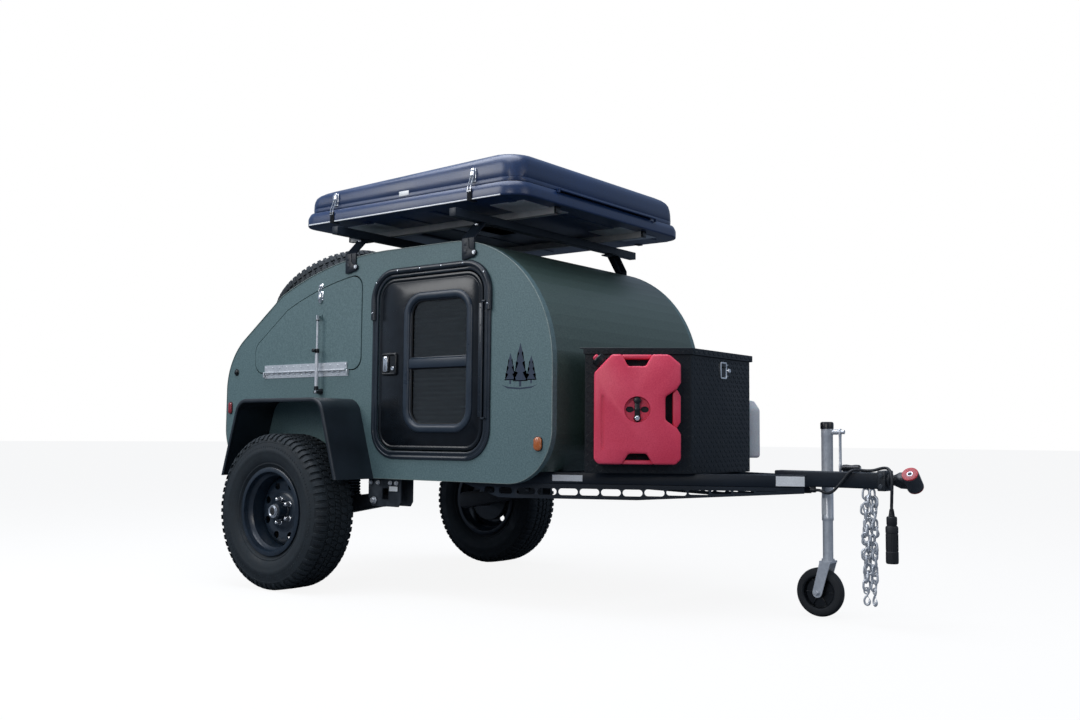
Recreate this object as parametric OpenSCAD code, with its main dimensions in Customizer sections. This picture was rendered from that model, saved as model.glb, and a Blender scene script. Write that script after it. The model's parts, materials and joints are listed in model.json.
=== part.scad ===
// Off-road teardrop trailer with a hard-shell roof tent.
// Built in millimetres. +X points to the tow eye, +Y to the left side, +Z up, z = 0 is the ground.
// Lengths along X are given from the wheel axis, and the whole trailer is then moved along X
// so that its origin lies on the ground in the middle of its overall length.

/* [Wheels] */
// Outer radius of the tyre
tyre_r = 366.5; // [300:0.5:400]
// Width of the tyre
tyre_w = 235; // [185:1:265]
// Distance from the side wall to the tyre
tyre_gap = 52.5; // [30:0.5:90]
// Diameter of the rim at its bead seat
rim_d = 381; // [355:1:432]
// Width of the rim between its flanges
rim_w = 178; // [150:1:200]
// Height of the rim's flange above its bead seat
flange_h = 16; // [12:0.5:20]
// Radius of the wheel hub
hub_r = 38; // [30:1:44]
// How far the hub stands out of the rim's disc
hub_out = 68; // [40:1:80]
// Radius of the ring of round holes in the rim
hole_ring_r = 124; // [100:1:140]
// Diameter of each round hole in the rim
hole_d = 36; // [24:1:44]
// Radius of the spindle that carries the hub
spindle_r = 17.5; // [14:0.5:22]

/* [Body] */
// Front of the body
nose_x = 1451; // [1400:1:1700]
// Rear of the body
tail_x = -697; // [-860:1:-640]
// Width over the side walls
body_w = 1220; // [1100:1:1340]
// Height of the body's lower edge
body_low = 527; // [500:1:560]
// Height of the roof's crest
body_top = 1595; // [1450:1:1900]
// Radius from the nose to the roof
nose_r = 562; // [440:1:660]
// Radius of the two lower corners
low_r = 236; // [150:1:260]
// Rear end of the flat of the roof
crest_x = 495; // [420:1:600]
// Radius of the long arc behind the crest
roof_r = 1850; // [1600:10:2200]
// Angle that the long arc turns through
roof_turn = 23.7; // [18:0.1:28]
// Radius between the long arc and the straight tail slope
hip_r = 200; // [150:1:260]
// Angle of the tail slope
tail_slope = 35.5; // [30:0.1:40]
// Radius from the tail slope to the upright rear
tail_r = 327; // [240:1:400]
// Thickness of the side walls
wall_t = 30; // [20:1:40]
// Thickness of the nose, roof and tail skin
skin_t = 25; // [18:1:30]
// Thickness of the floor
floor_t = 18; // [12:1:25]
// Gap round a panel that opens
panel_gap = 5; // [4:0.5:8]

/* [Doors] */
// Rear edge of the door frame
door_x = 395; // [380:1:440]
// Width of the door frame
door_w = 723; // [600:1:760]
// Lower edge of the door frame
door_z = 620; // [600:1:660]
// Height of the door frame
door_h = 877; // [760:1:900]
// Corner radius of the door frame
door_r = 140; // [110:1:180]
// Width of the door frame's ring
ring_w = 38; // [30:1:45]
// How far the ring stands out of the wall
ring_out = 8; // [4:1:12]
// Distance from the door frame's rear edge to the window opening
window_back = 243; // [200:1:280]
// Distance from the window opening to the door frame's front edge
window_ahead = 135; // [110:1:170]
// Distance from the door frame's lower edge to the window opening
window_below = 157; // [120:1:200]
// Distance from the window opening to the door frame's top
window_above = 153; // [120:1:200]
// Corner radius of the window opening
window_r = 70; // [40:1:90]
// Thickness of the glass
glass_t = 4; // [3:0.5:6]

/* [Hatches] */
// Rear edge of the side hatch
side_hatch_x = -471; // [-500:1:-420]
// Front edge of the side hatch
side_hatch_end = 318; // [250:1:340]
// Lower edge of the side hatch
side_hatch_z = 1038; // [1000:1:1100]
// Distance from the roof's surface to the side hatch
side_hatch_inset = 85; // [70:1:110]
// Corner radius of the side hatch
side_hatch_r = 60; // [30:1:80]
// Place of the rear hatch's hinge along the roof
rear_hinge_x = 100; // [60:1:180]
// Lower edge of the rear hatch
rear_hatch_z = 905; // [820:1:940]
// Place of the stay along the body
stay_x = 36; // [-60:1:120]
// Height of the stay's lower pivot
stay_z = 934; // [925:1:950]
// Length of the stay between its pivots
stay_len = 370; // [330:1:390]
// Distance from the wall to the stay
stay_off = 30; // [26:1:40]

/* [Frame] */
// Side of the square tube of the rails
tube = 50.8; // [40:0.1:60]
// Distance from a side wall's outer face to the rails
rail_in = 65; // [40:1:110]
// Underside of the rails
frame_z = 529.2; // [520:0.1:560]
// Place where the rails bend inwards
bend_x = 1203; // [1100:1:1280]
// Front end of the drawbar legs
leg_end = 2303.7; // [2200:0.1:2320]
// Depth of the slotted truss plates under the rails
truss_h = 63; // [45:1:80]
// Thickness of the truss plates
truss_t = 6; // [4:0.5:10]
// Side of the square drawbar tube
bar = 63.5; // [50:0.1:76]
// Underside of the drawbar
bar_z = 535; // [530:1:550]
// Front end of the drawbar
bar_end = 2600; // [2450:1:2700]
// Distance from the drawbar's end to the tow eye's centre
eye_reach = 125; // [100:1:160]
// Outer radius of the tow eye
eye_r = 32; // [26:1:40]
// Radius of the tow eye's bore
eye_bore_r = 8.1; // [6:0.1:12]
// Width of the tow eye with its bushing
eye_w = 88; // [70:1:100]
// Roll of the tow eye as it is parked
eye_roll = 40; // [0:1:90]

/* [Fenders] */
// Half length of a fender at its lower edge
fender_low_x = 415; // [390:1:470]
// Half length of a fender at its top
fender_top_x = 300; // [240:1:330]
// Height of a fender's top
fender_top_z = 900; // [860:1:912]
// How far a fender stands out of the wall
fender_out = 238; // [180:1:290]
// Corner radius of a fender
fender_r = 80; // [50:1:110]
// Thickness of a fender's sheet
fender_t = 5; // [3:0.5:8]
// Depth of the lip along a fender's outer edge
lip = 18; // [12:1:24]

/* [Tongue box] */
// Rear of the tongue box
box_x = 1540; // [1500:1:1600]
// Front of the tongue box
box_end = 1905; // [1800:1:2000]
// Width of the tongue box at its rear
box_w = 1010; // [800:1:1060]
// Width of the tongue box at its front
box_nose_w = 530; // [400:1:640]
// Height of the tongue box without its lid
box_h = 503; // [400:1:560]
// Height of the lid's skirt
lid_h = 27; // [20:1:40]
// Sheet thickness of the tongue box
sheet = 4; // [2:0.5:6]

/* [Roof rack and tent] */
// Side of the square rack bars
rack_bar = 38; // [30:1:45]
// Length of the rack bars
rack_len = 1450; // [1360:1:1560]
// Height of the rack bars above the roof's crest
rack_rise = 84; // [70:1:120]
// Places of the rack bars along the roof
rack_x = [240, 987];
// Height of the tent's rails
rail_h = 31; // [20:1:40]
// Rear of the tent
tent_x = -60; // [-60:1:0]
// Length of the tent
tent_len = 1379; // [1250:1:1400]
// Width of the tent
tent_w = 1380; // [1200:1:1420]
// Height of the tent's lower tray
tray_h = 62; // [50:1:80]
// Height of the tent's lid at its edge
lid_side_h = 104; // [80:1:140]
// Rise of the lid's crown above its edge
crown_h = 78; // [40:1:100]
// Corner radius of the tent
tent_r = 110; // [80:1:140]

/* [Jack] */
// Place of the jack along the drawbar
jack_x = 2336; // [2320:1:2400]
// Distance from the middle of the drawbar to the jack
jack_y = 105; // [90:1:140]
// Outer radius of the jack's outer tube
jack_r = 24; // [20:1:30]
// Outer radius of the jack's inner leg
jack_leg_r = 21; // [16:0.5:22]
// Radius of the jockey wheel
jockey_r = 100; // [80:1:120]
// Width of the jockey wheel
jockey_w = 50; // [40:1:60]
// Distance that the jockey wheel trails behind the jack
jockey_trail = 34; // [20:1:50]

/* [Hidden] */
$fn = 48;
arc_n = 16;
seat = 0.3;        // gap between two pieces that lie against each other without touching
run = 0.05;        // radial clearance of a shaft in its bore

half_w = body_w / 2;
window_x = door_x + window_back;
window_w = door_w - window_back - window_ahead;
window_z = door_z + window_below;
window_h = door_h - window_below - window_above;
track = body_w + 2 * tyre_gap + tyre_w;
inner_w = body_w - 2 * wall_t;
nose_c = [nose_x - nose_r, body_top - nose_r];
nose_low_c = [nose_x - low_r, body_low + low_r];
tail_low_c = [tail_x + low_r, body_low + low_r];
roof_c = [crest_x, body_top - roof_r];
hip_a = 90 + roof_turn;
slope_a = 90 + tail_slope;
slope_n = [cos(slope_a), sin(slope_a)];
hip_c = roof_c + (roof_r - hip_r) * [cos(hip_a), sin(hip_a)];
tail_cx = tail_x + tail_r;
tail_c = [tail_cx, (hip_c * slope_n + hip_r - tail_r - tail_cx * slope_n[0]) / slope_n[1]];
hip_end = hip_c + hip_r * slope_n;
tail_start = tail_c + tail_r * slope_n;

frame_top = frame_z + tube;
floor_top = frame_top + floor_t;
rail_x = tail_x + 137;
frame_w = body_w - 2 * rail_in;
rail_y = frame_w / 2;
leg_run = leg_end - bend_x;
leg_angle = atan((rail_y - bar / 2) / leg_run);
leg_inner = tube / cos(leg_angle);
mitre = tube * tan(leg_angle / 2);
bar_top = bar_z + bar;
bar_mid = bar_z + bar / 2 + 3.25;
eye_x = bar_end + eye_reach;

rack_z = body_top + rack_rise;
tent_z = rack_z + rack_bar + rail_h;
seam_z = tent_z + tray_h;
box_z = frame_top;
box_top = box_z + box_h;

// Spare wheel: its foot lies on the tail slope, a little above the slope's middle
spare_up = 28;
spare_foot = (hip_end + tail_start) / 2 + spare_up * [cos(tail_slope), sin(tail_slope)];
spare_gap = 30;
spare_mid = spare_gap + tyre_w / 2;
spare_shoulder = 30;
spare_low_x = spare_foot[0] + (spare_mid + tyre_w / 2 - spare_shoulder) * slope_n[0]
    - (tyre_r - spare_shoulder) * cos(tail_slope) - spare_shoulder;

// The origin lies in the middle of the overall length
origin_x = (eye_x + eye_r + spare_low_x) / 2;

// Height of the roof's outer surface behind the crest
function roof_z(x) = roof_c[1] + sqrt(roof_r * roof_r - pow(x - roof_c[0], 2));

// ---- helpers ----

function arc(c, r, a0, a1) =
    [for (i = [0:arc_n]) c + r * [cos(a0 + (a1 - a0) * i / arc_n), sin(a0 + (a1 - a0) * i / arc_n)]];

// The body's side outline, moved inwards by t
function outline(t) = concat(
    arc(nose_low_c, low_r - t, -90, 0),
    arc(nose_c, nose_r - t, 0, 90),
    arc(roof_c, roof_r - t, 90, hip_a),
    arc(hip_c, hip_r - t, hip_a, slope_a),
    arc(tail_c, tail_r - t, slope_a, 180),
    arc(tail_low_c, low_r - t, 180, 270));

// An outline in X and Z, made solid between two places along Y
module across(y0, y1) {
    translate([0, y1, 0]) rotate([90, 0, 0]) linear_extrude(y1 - y0) children();
}

// A right-hand piece, or its mirror image on the left
module on_side(side) {
    if (side == "left") mirror([0, 1, 0]) children();
    else children();
}

module both_sides() {
    on_side("right") children();
    on_side("left") children();
}

module round_rect(x, z, w, h, r) {
    translate([x + r, z + r]) offset(r = r) square([w - 2 * r, h - 2 * r]);
}

module placed() {
    translate([-origin_x, 0, 0]) children();
}

// A round bar along Y
module bar_y(x, z, r, y0, y1) {
    translate([x, y1, z]) rotate([90, 0, 0]) cylinder(h = y1 - y0, r = r);
}

// A round bar along X
module bar_x(y, z, r, x0, x1) {
    translate([x0, y, z]) rotate([0, 90, 0]) cylinder(h = x1 - x0, r = r);
}

// ---- frame ----

module side_rails() color([0.05, 0.06, 0.08]) both_sides() {
    translate([0, 0, frame_z]) linear_extrude(tube) polygon([
        [rail_x, -rail_y], [bend_x, -rail_y],
        [bend_x - mitre, -rail_y + tube], [rail_x, -rail_y + tube]]);
}

cross_xs = [rail_x, 90, 640, bend_x - mitre - tube];
module crossmembers() color([0.05, 0.06, 0.08]) {
    for (x = cross_xs)
        translate([x, -rail_y + tube, frame_z]) cube([tube, frame_w - 2 * tube, tube]);
}

module drawbar_legs() color([0.05, 0.06, 0.08]) both_sides() {
    translate([0, 0, frame_z]) linear_extrude(tube) polygon([
        [bend_x, -rail_y], [bend_x + leg_run, -bar / 2],
        [bend_x + leg_run - leg_inner / tan(leg_angle), -bar / 2],
        [bend_x - mitre, -rail_y + tube]]);
}

// Along the leg the plate's lower edge rises from truss_from to its end
truss_len = leg_run / cos(leg_angle) - 8;
truss_from = 526;
truss_rise = 40;
truss_tail = 310;
slot_pitch = 91.5;
slot_len = 84;
slot_h = 28;
slot_margin = 15;
function truss_low(s) = -truss_h + max(0, s - truss_from) / (truss_len - truss_from) * truss_rise;

module slot(s, len) {
    h = min(slot_h, -truss_low(s + len / 2) - slot_margin - 12);
    z = (truss_low(s) - 4) / 2;
    hull() {
        translate([s - len / 2 + h / 2, z]) circle(h / 2);
        translate([s + len / 2 - h / 2, z]) circle(h / 2);
    }
}

module truss_plates() color([0.06, 0.07, 0.09]) both_sides() {
    translate([bend_x, -rail_y, frame_z]) rotate([0, 0, leg_angle]) across(0, truss_t)
        difference() {
            polygon([[0, 0], [0, -truss_h], [truss_from, -truss_h],
                [truss_len, truss_rise - truss_h], [truss_len, 0]]);
            for (i = [0:11]) slot(50 + i * slot_pitch, slot_len);
        }
    translate([bend_x, -rail_y, frame_z]) across(0, truss_t) difference() {
        polygon([[-truss_tail, 0], [-truss_tail, -3], [-91, -truss_h], [0, -truss_h], [0, 0]]);
        slot(-50, 76);
        slot(-140, 60);
    }
}

module drawbar() color([0.05, 0.06, 0.08]) {
    translate([bend_x + leg_run - leg_inner / tan(leg_angle) - 20, -bar / 2, bar_z])
        cube([bar_end - bend_x - leg_run + leg_inner / tan(leg_angle) + 20, bar, bar]);
}

yoke_len = 34;
yoke_w = 90;
yoke_h = 79;
yoke_below = 42;
neck_r = 20;
module coupler_yoke() color([0.04, 0.04, 0.05]) difference() {
    translate([bar_end + seat, -yoke_w / 2, bar_mid - yoke_below])
        cube([yoke_len - seat, yoke_w, yoke_h]);
    bar_x(0, bar_mid, neck_r + run, bar_end + 4, bar_end + yoke_len + 1);
}

bush_t = 6;
module tow_eye() color([0.04, 0.04, 0.05]) difference() {
    union() {
        bar_x(0, bar_mid, neck_r, bar_end + 5, eye_x - eye_r / 2);
        translate([0, 0, bar_mid]) rotate([-eye_roll, 0, 0]) translate([0, 0, -bar_mid])
            bar_y(eye_x, bar_mid, eye_r, -eye_w / 2 + bush_t, eye_w / 2 - bush_t);
    }
    translate([0, 0, bar_mid]) rotate([-eye_roll, 0, 0]) translate([0, 0, -bar_mid])
        bar_y(eye_x, bar_mid, eye_r - 6, -eye_w, eye_w);
}

// The bushing fills the eye, and its two flanges lie against the eye's ends
module tow_bushing() color([0.6, 0.05, 0.05])
    translate([0, 0, bar_mid]) rotate([-eye_roll, 0, 0]) translate([0, 0, -bar_mid])
        difference() {
            union() {
                bar_y(eye_x, bar_mid, eye_r - 6 - seat, -eye_w / 2, eye_w / 2);
                for (y = [-eye_w / 2, eye_w / 2 - bush_t + seat])
                    bar_y(eye_x, bar_mid, eye_r - 1, y, y + bush_t - seat);
            }
            bar_y(eye_x, bar_mid, eye_bore_r, -eye_w, eye_w);
        }

// ---- body ----

module ring2d(t) difference() {
    polygon(outline(0));
    polygon(outline(t));
}

module door_opening2d(grow) round_rect(door_x + ring_w - grow, door_z + ring_w - grow,
    door_w - 2 * ring_w + 2 * grow, door_h - 2 * ring_w + 2 * grow, door_r - ring_w + grow);

module window2d(grow) round_rect(window_x - grow, window_z - grow, window_w + 2 * grow,
    window_h + 2 * grow, window_r + grow);

module side_hatch2d(t) offset(r = side_hatch_r) offset(delta = -side_hatch_r) intersection() {
    polygon(outline(side_hatch_inset + t));
    translate([side_hatch_x + t, side_hatch_z + t])
        square([side_hatch_end - side_hatch_x - 2 * t, body_top]);
}

module floor() color([0.25, 0.22, 0.18]) across(-inner_w / 2, inner_w / 2) intersection() {
    polygon(outline(skin_t + seat));
    translate([tail_x, frame_top]) square([nose_x - tail_x, floor_t]);
}

hinge_r = 4.5;
pin_r = 2.5;
side_hinge_y = half_w + 8;
side_hinge_z = side_hatch_z + 3;
side_hinge_x = [-390, 231];

module side_walls() color([0.36, 0.43, 0.44]) both_sides() {
    across(-half_w, -half_w + wall_t) difference() {
        polygon(outline(0));
        door_opening2d(0);
        side_hatch2d(0);
    }
    for (x = [side_hinge_x[0], side_hinge_x[1] - 6])
        translate([x, -side_hinge_y - hinge_r, side_hinge_z - 24]) cube([6, hinge_r + 8, 26]);
    bar_x(-side_hinge_y, side_hinge_z, pin_r, side_hinge_x[0], side_hinge_x[1]);
}

module roof_skin() color([0.22, 0.27, 0.25]) across(-inner_w / 2, inner_w / 2) intersection() {
    ring2d(skin_t);
    translate([rear_hinge_x, frame_top + seat]) square([nose_x, body_top]);
}

module rear_panel() color([0.22, 0.27, 0.25]) across(-inner_w / 2, inner_w / 2) intersection() {
    ring2d(skin_t);
    translate([tail_x, frame_top + seat])
        square([low_r, rear_hatch_z - panel_gap - frame_top - seat]);
}

counter_z = side_hatch_z - 38;
bulkhead_x = side_hatch_end + 30;
cabinet_x = tail_x + skin_t + 30;
board = 15;
module galley_cabinet() color([0.55, 0.45, 0.32]) across(-inner_w / 2, inner_w / 2)
    intersection() {
        union() {
            translate([cabinet_x, counter_z]) square([bulkhead_x - cabinet_x, board]);
            translate([bulkhead_x - board, counter_z]) square([board, body_top]);
            translate([cabinet_x, floor_top]) square([board, counter_z - floor_top + 1]);
        }
        polygon(outline(skin_t));
    }

hatch_w = inner_w - 2 * panel_gap;
hatch_pin_z = roof_z(rear_hinge_x) + 8;
hatch_pin_x = rear_hinge_x - 4;
module rear_hatch() color([0.22, 0.27, 0.25]) {
    across(-hatch_w / 2, hatch_w / 2) intersection() {
        ring2d(skin_t);
        translate([tail_x, rear_hatch_z])
            square([rear_hinge_x - 8 - tail_x, body_top - rear_hatch_z]);
    }
    hinge_moving(hatch_pin_x, hatch_pin_z, 480) translate([-26, -16]) square([26, 11]);
}

// A hinge along Y: the pin and its two end lugs are fixed, and the long knuckle moves
module hinge_moving(x, z, half) {
    difference() {
        union() {
            bar_y(x, z, hinge_r, -half, half);
            translate([x, 0, z]) across(-half, half) children();
        }
        bar_y(x, z, pin_r + run, -half - 1, half + 1);
    }
}

module hinge_fixed(x, z, half) {
    bar_y(x, z, pin_r, -half - 10, half + 10);
    for (y = [-half - 10, half + 1])
        translate([x, 0, z]) across(y, y + 9) children();
}

// ---- spare wheel ----

module on_spare() {
    translate([spare_foot[0], 0, spare_foot[1]]) rotate([0, -tail_slope, 0]) children();
}

spare_disc_z = spare_mid + 10;
module spare_mount() color([0.05, 0.05, 0.06]) on_spare() difference() {
    union() {
        translate([-90, -90, seat]) cube([180, 180, 8]);
        cylinder(h = spare_disc_z - seat, r = 55);
    }
    translate([0, 0, -1]) cylinder(h = spare_disc_z, r = 45);
}

module spare_rim() color([0.08, 0.1, 0.13]) on_spare() translate([0, 0, spare_mid]) rim_plain();
module spare_tyre() color([0.05, 0.05, 0.06]) on_spare() translate([0, 0, spare_mid]) tyre();

// ---- wheels ----

rim_r = rim_d / 2;
tread_half = tyre_w / 2 - spare_shoulder;
module tyre() rotate_extrude() polygon(concat(
    [[rim_r + seat, rim_w / 2 - seat], [rim_r + seat, seat - rim_w / 2],
     [rim_r + flange_h + 6, seat - rim_w / 2]],
    [for (a = [-60:20:60]) [rim_r + 96 + 64 * sin(a), -tyre_w / 2 + 26 - 26 * cos(a)]],
    [for (a = [-75:15:0])
        [tyre_r - spare_shoulder + spare_shoulder * cos(a), -tread_half + spare_shoulder * sin(a)]],
    [for (a = [0:15:75])
        [tyre_r - spare_shoulder + spare_shoulder * cos(a), tread_half + spare_shoulder * sin(a)]],
    [for (a = [60:-20:-60]) [rim_r + 96 + 64 * sin(a), tyre_w / 2 - 26 + 26 * cos(a)]],
    [[rim_r + flange_h + 6, rim_w / 2 - seat]]));

disc_t = 6;
flange_t = 11;
module rim_shell() rotate_extrude() polygon([
    [rim_r, -rim_w / 2], [rim_r, rim_w / 2], [rim_r + flange_h, rim_w / 2],
    [rim_r + flange_h, rim_w / 2 + flange_t], [rim_r - 5, rim_w / 2 + flange_t],
    [rim_r - 7, rim_w / 2 - 14], [rim_r - 24, rim_w / 2 - 34], [rim_r - 24, -rim_w / 2 + 34],
    [rim_r - 7, -rim_w / 2 + 14], [rim_r - 5, -rim_w / 2 - flange_t],
    [rim_r + flange_h, -rim_w / 2 - flange_t], [rim_r + flange_h, -rim_w / 2]]);

module rim_holes() for (i = [0:7])
    rotate([0, 0, 22.5 + 45 * i]) translate([hole_ring_r, 0, 0])
        cylinder(h = 60, r = hole_d / 2, center = true);

module rim_plain() difference() {
    union() {
        rim_shell();
        translate([0, 0, 10]) cylinder(h = disc_t, r = rim_r - 20);
    }
    rim_holes();
    cylinder(h = 60, r = hub_r + seat, center = true);
}

hub_in = 50;
module wheel_rim() difference() {
    union() {
        rim_shell();
        translate([0, 0, 10]) cylinder(h = disc_t, r = rim_r - 20);
        translate([0, 0, -hub_in]) cylinder(h = hub_in + 10 + disc_t + hub_out, r = hub_r);
        translate([0, 0, -6]) cylinder(h = 16, r = 75);
    }
    rim_holes();
    translate([0, 0, -hub_in - 1]) cylinder(h = hub_in + 60, r = spindle_r + run);
}

module on_wheel() translate([0, -track / 2, tyre_r]) rotate([90, 0, 0]) children();

// ---- suspension ----

pivot_x = 395;
pivot_z = 425;
pivot_r = 10;
arm_y = half_w - 70;
arm_t = 60;
spring_x = 170;
spring_r = 45;
spring_lift = 45.66;
spring_z = tyre_r + (pivot_z - tyre_r) * (spring_x + spring_r) / pivot_x + spring_lift;
module suspension_brackets() color([0.04, 0.04, 0.05]) both_sides() {
    difference() {
        union() {
            for (y = [-half_w + wall_t + 1, -rail_y + tube - 6])
                across(y, y + 6) difference() {
                    polygon([[350, frame_z - 6], [350, 440], [375, 398], [545, 398],
                        [560, 420], [560, frame_z - 6]]);
                    translate([440, 430]) square([42, 52]);
                }
            translate([350, -half_w + wall_t + 1, frame_z - 6])
                cube([210, half_w - wall_t - 1 - rail_y + tube, 6]);
        }
        bar_y(pivot_x, pivot_z, pivot_r + run, -half_w, -rail_y + 2 * tube);
    }
}

module trailing_arms() color([0.04, 0.04, 0.05]) both_sides() {
    difference() {
        across(-arm_y - arm_t / 2 + 3, -arm_y + arm_t / 2 + 3) hull() {
            translate([pivot_x, pivot_z]) circle(34);
            translate([0, tyre_r]) circle(46);
        }
        bar_y(pivot_x, pivot_z, pivot_r + run, -half_w, -rail_y + 2 * tube);
    }
    bar_y(pivot_x, pivot_z, pivot_r, -half_w + 22, -rail_y + tube + 6);
    bar_y(0, tyre_r, 40, -track / 2 + hub_in + 14, -arm_y);
    bar_y(0, tyre_r, 125, -track / 2 + hub_in + 8, -track / 2 + hub_in + 14);
    bar_y(0, tyre_r, spindle_r, -track / 2 - 40, -track / 2 + hub_in + 8);
    translate([spring_x, -rail_y + tube / 2, spring_z - 26]) cylinder(h = 26, r = spring_r + 5);
}

module coil_springs() color([0.1, 0.1, 0.11]) both_sides() {
    translate([spring_x, -rail_y + tube / 2, spring_z]) cylinder(h = frame_z - spring_z, r = spring_r);
}

module fender2d(t) offset(r = fender_r - t) offset(delta = -fender_r) polygon([
    [-fender_low_x, -fender_top_z], [-fender_low_x, body_low - 2], [-fender_top_x, fender_top_z],
    [fender_top_x, fender_top_z], [fender_low_x, body_low - 2], [fender_low_x, -fender_top_z]]);

module fenders() color([0.06, 0.07, 0.09]) both_sides() {
    across(-half_w - fender_out, -half_w - seat) intersection() {
        difference() {
            fender2d(0);
            fender2d(fender_t);
        }
        translate([-fender_low_x, body_low - 2]) square([2 * fender_low_x, fender_top_z]);
    }
    across(-half_w - fender_out, -half_w - fender_out + fender_t) intersection() {
        difference() {
            fender2d(0);
            fender2d(lip);
        }
        translate([-fender_low_x, body_low - 2]) square([2 * fender_low_x, fender_top_z]);
    }
}

// ---- doors ----

door_pin_x = door_x + door_w - ring_w - 2;
door_pin_y = half_w + 14;
door_pin_z = [door_z + door_r + 40, door_z + door_h - door_r - 40];
leaf_out = 6;
module door_frames() color([0.04, 0.05, 0.07]) both_sides() {
    across(-half_w - ring_out, -half_w) difference() {
        round_rect(door_x, door_z, door_w, door_h, door_r);
        door_opening2d(0);
    }
    translate([door_pin_x, -door_pin_y, door_pin_z[0]])
        cylinder(h = door_pin_z[1] - door_pin_z[0], r = pin_r);
    for (z = [door_pin_z[0], door_pin_z[1] - 8]) translate([door_pin_x, -door_pin_y - 4, z]) {
        translate([-3, 0, 0]) cube([20, door_pin_y + 4 - half_w - ring_out, 8]);
        translate([4, 0, 0]) cube([13, door_pin_y + 4 - half_w - 2, 8]);
    }
}

module door_leaf() {
    difference() {
        across(-half_w - leaf_out, -half_w - leaf_out + wall_t) difference() {
            door_opening2d(-panel_gap);
            window2d(0);
        }
        translate([door_pin_x, -door_pin_y, door_z]) cylinder(h = door_h, r = pin_r + run);
    }
    difference() {
        union() {
            translate([door_pin_x, -door_pin_y, door_pin_z[0] + 10])
                cylinder(h = door_pin_z[1] - door_pin_z[0] - 20, r = hinge_r);
            translate([door_pin_x - 24, -half_w - leaf_out - 5, door_pin_z[0] + 10])
                cube([24, 5.5, door_pin_z[1] - door_pin_z[0] - 20]);
        }
        translate([door_pin_x, -door_pin_y, door_z]) cylinder(h = door_h, r = pin_r + run);
    }
    handle();
}

handle_x = door_x + 70;
handle_z = door_z + 384;
module handle() translate([0, -half_w - leaf_out, 0]) {
    across(-8, 0) round_rect(handle_x, handle_z, 97, 106, 12);
    across(-22, -8) round_rect(handle_x + 8, handle_z + 30, 80, 44, 10);
}

module right_door() color([0.04, 0.06, 0.08]) door_leaf();
module left_door() color([0.04, 0.06, 0.08]) on_side("left") door_leaf();

glass_y = half_w - 8;
module window() color([0.05, 0.06, 0.07]) across(-glass_y, -glass_y + glass_t) window2d(-seat);

shade_t = 10;
module shade() color([0.3, 0.3, 0.3]) {
    translate([window_x - 5, -half_w - leaf_out + wall_t + seat, window_z - 10])
        cube([window_w + 10, shade_t, window_h + 20]);
}

// ---- side hatches and their stays ----

hatch_leaf_out = 2;
stay_y = half_w + stay_off;
sleeve_r = 9;
rod_r = 5;
eye_lug = 8;
sleeve_len = 214;
module side_hatch() {
    across(-half_w - hatch_leaf_out, -half_w - hatch_leaf_out + wall_t) side_hatch2d(panel_gap);
    difference() {
        union() {
            bar_x(-side_hinge_y, side_hinge_z, hinge_r, side_hinge_x[0] + 8, side_hinge_x[1] - 8);
            translate([side_hinge_x[0] + 8, -side_hinge_y, side_hinge_z])
                cube([side_hinge_x[1] - side_hinge_x[0] - 16, 6.5, 24]);
        }
        bar_x(-side_hinge_y, side_hinge_z, pin_r + run, side_hinge_x[0], side_hinge_x[1]);
    }
    translate([stay_x - 20, -half_w - hatch_leaf_out - 4, stay_z + stay_len - 14])
        cube([22, 4.5, 28]);
    translate([stay_x - 8, -stay_y - 6, stay_z + stay_len - 6])
        cube([8 - 3 - seat, stay_off + 2, 12]);
}

module stay_brackets() color([0.03, 0.03, 0.03]) both_sides() {
    translate([stay_x - 15, -half_w - 4, stay_z - 8]) cube([30, 4, 26]);
    for (x = [stay_x - 12, stay_x + 6])
        translate([x, -stay_y - 6, stay_z - 6]) cube([6, stay_off + 4, 12]);
    bar_x(-stay_y, stay_z, 3, stay_x - 8, stay_x + 8);
}

module stay_sleeve() color([0.75, 0.76, 0.78]) difference() {
    union() {
        bar_x(-stay_y, stay_z, 7.5, stay_x - 5, stay_x + 5);
        translate([stay_x, -stay_y, stay_z + 9]) cylinder(h = sleeve_len - 9, r = sleeve_r);
        translate([stay_x - 5, -stay_y - 5, stay_z]) cube([10, 10, 12]);
    }
    bar_x(-stay_y, stay_z, 3 + run, stay_x - 9, stay_x + 9);
    translate([stay_x, -stay_y, stay_z + 16]) cylinder(h = sleeve_len, r = rod_r + 0.1);
}

module stay_rod() color([0.75, 0.76, 0.78]) {
    translate([stay_x, -stay_y, stay_z + 150]) cylinder(h = stay_len - 158, r = rod_r);
    translate([stay_x - 3, -stay_y - 7, stay_z + stay_len - 14]) cube([6, 14, 22]);
}

// ---- lights ----

light_out = 12;
front_light = [nose_x - 72, 698];
rear_light = [tail_x + 35, 865];
tail_lamp = [24, 130, 80];
module side_light(place, w, h, r) translate([place[0], -half_w, place[1]]) rotate([90, 0, 0])
    linear_extrude(light_out) offset(r = r) square([w - 2 * r, h - 2 * r], center = true);

module marker_lights() color([0.7, 0.1, 0.05]) {
    both_sides() {
        side_light(front_light, 46, 62, 20);
        side_light(rear_light, 32, 64, 14);
        translate([tail_x - tail_lamp[0], -half_w + 110, 800]) cube(tail_lamp);
    }
}

// ---- tongue box and cans ----

box_slope = atan((box_w - box_nose_w) / 2 / (box_end - box_x));
module box2d(grow) offset(delta = grow) polygon([
    [box_x, -box_w / 2], [box_end, -box_nose_w / 2], [box_end, box_nose_w / 2],
    [box_x, box_w / 2]]);

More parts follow.
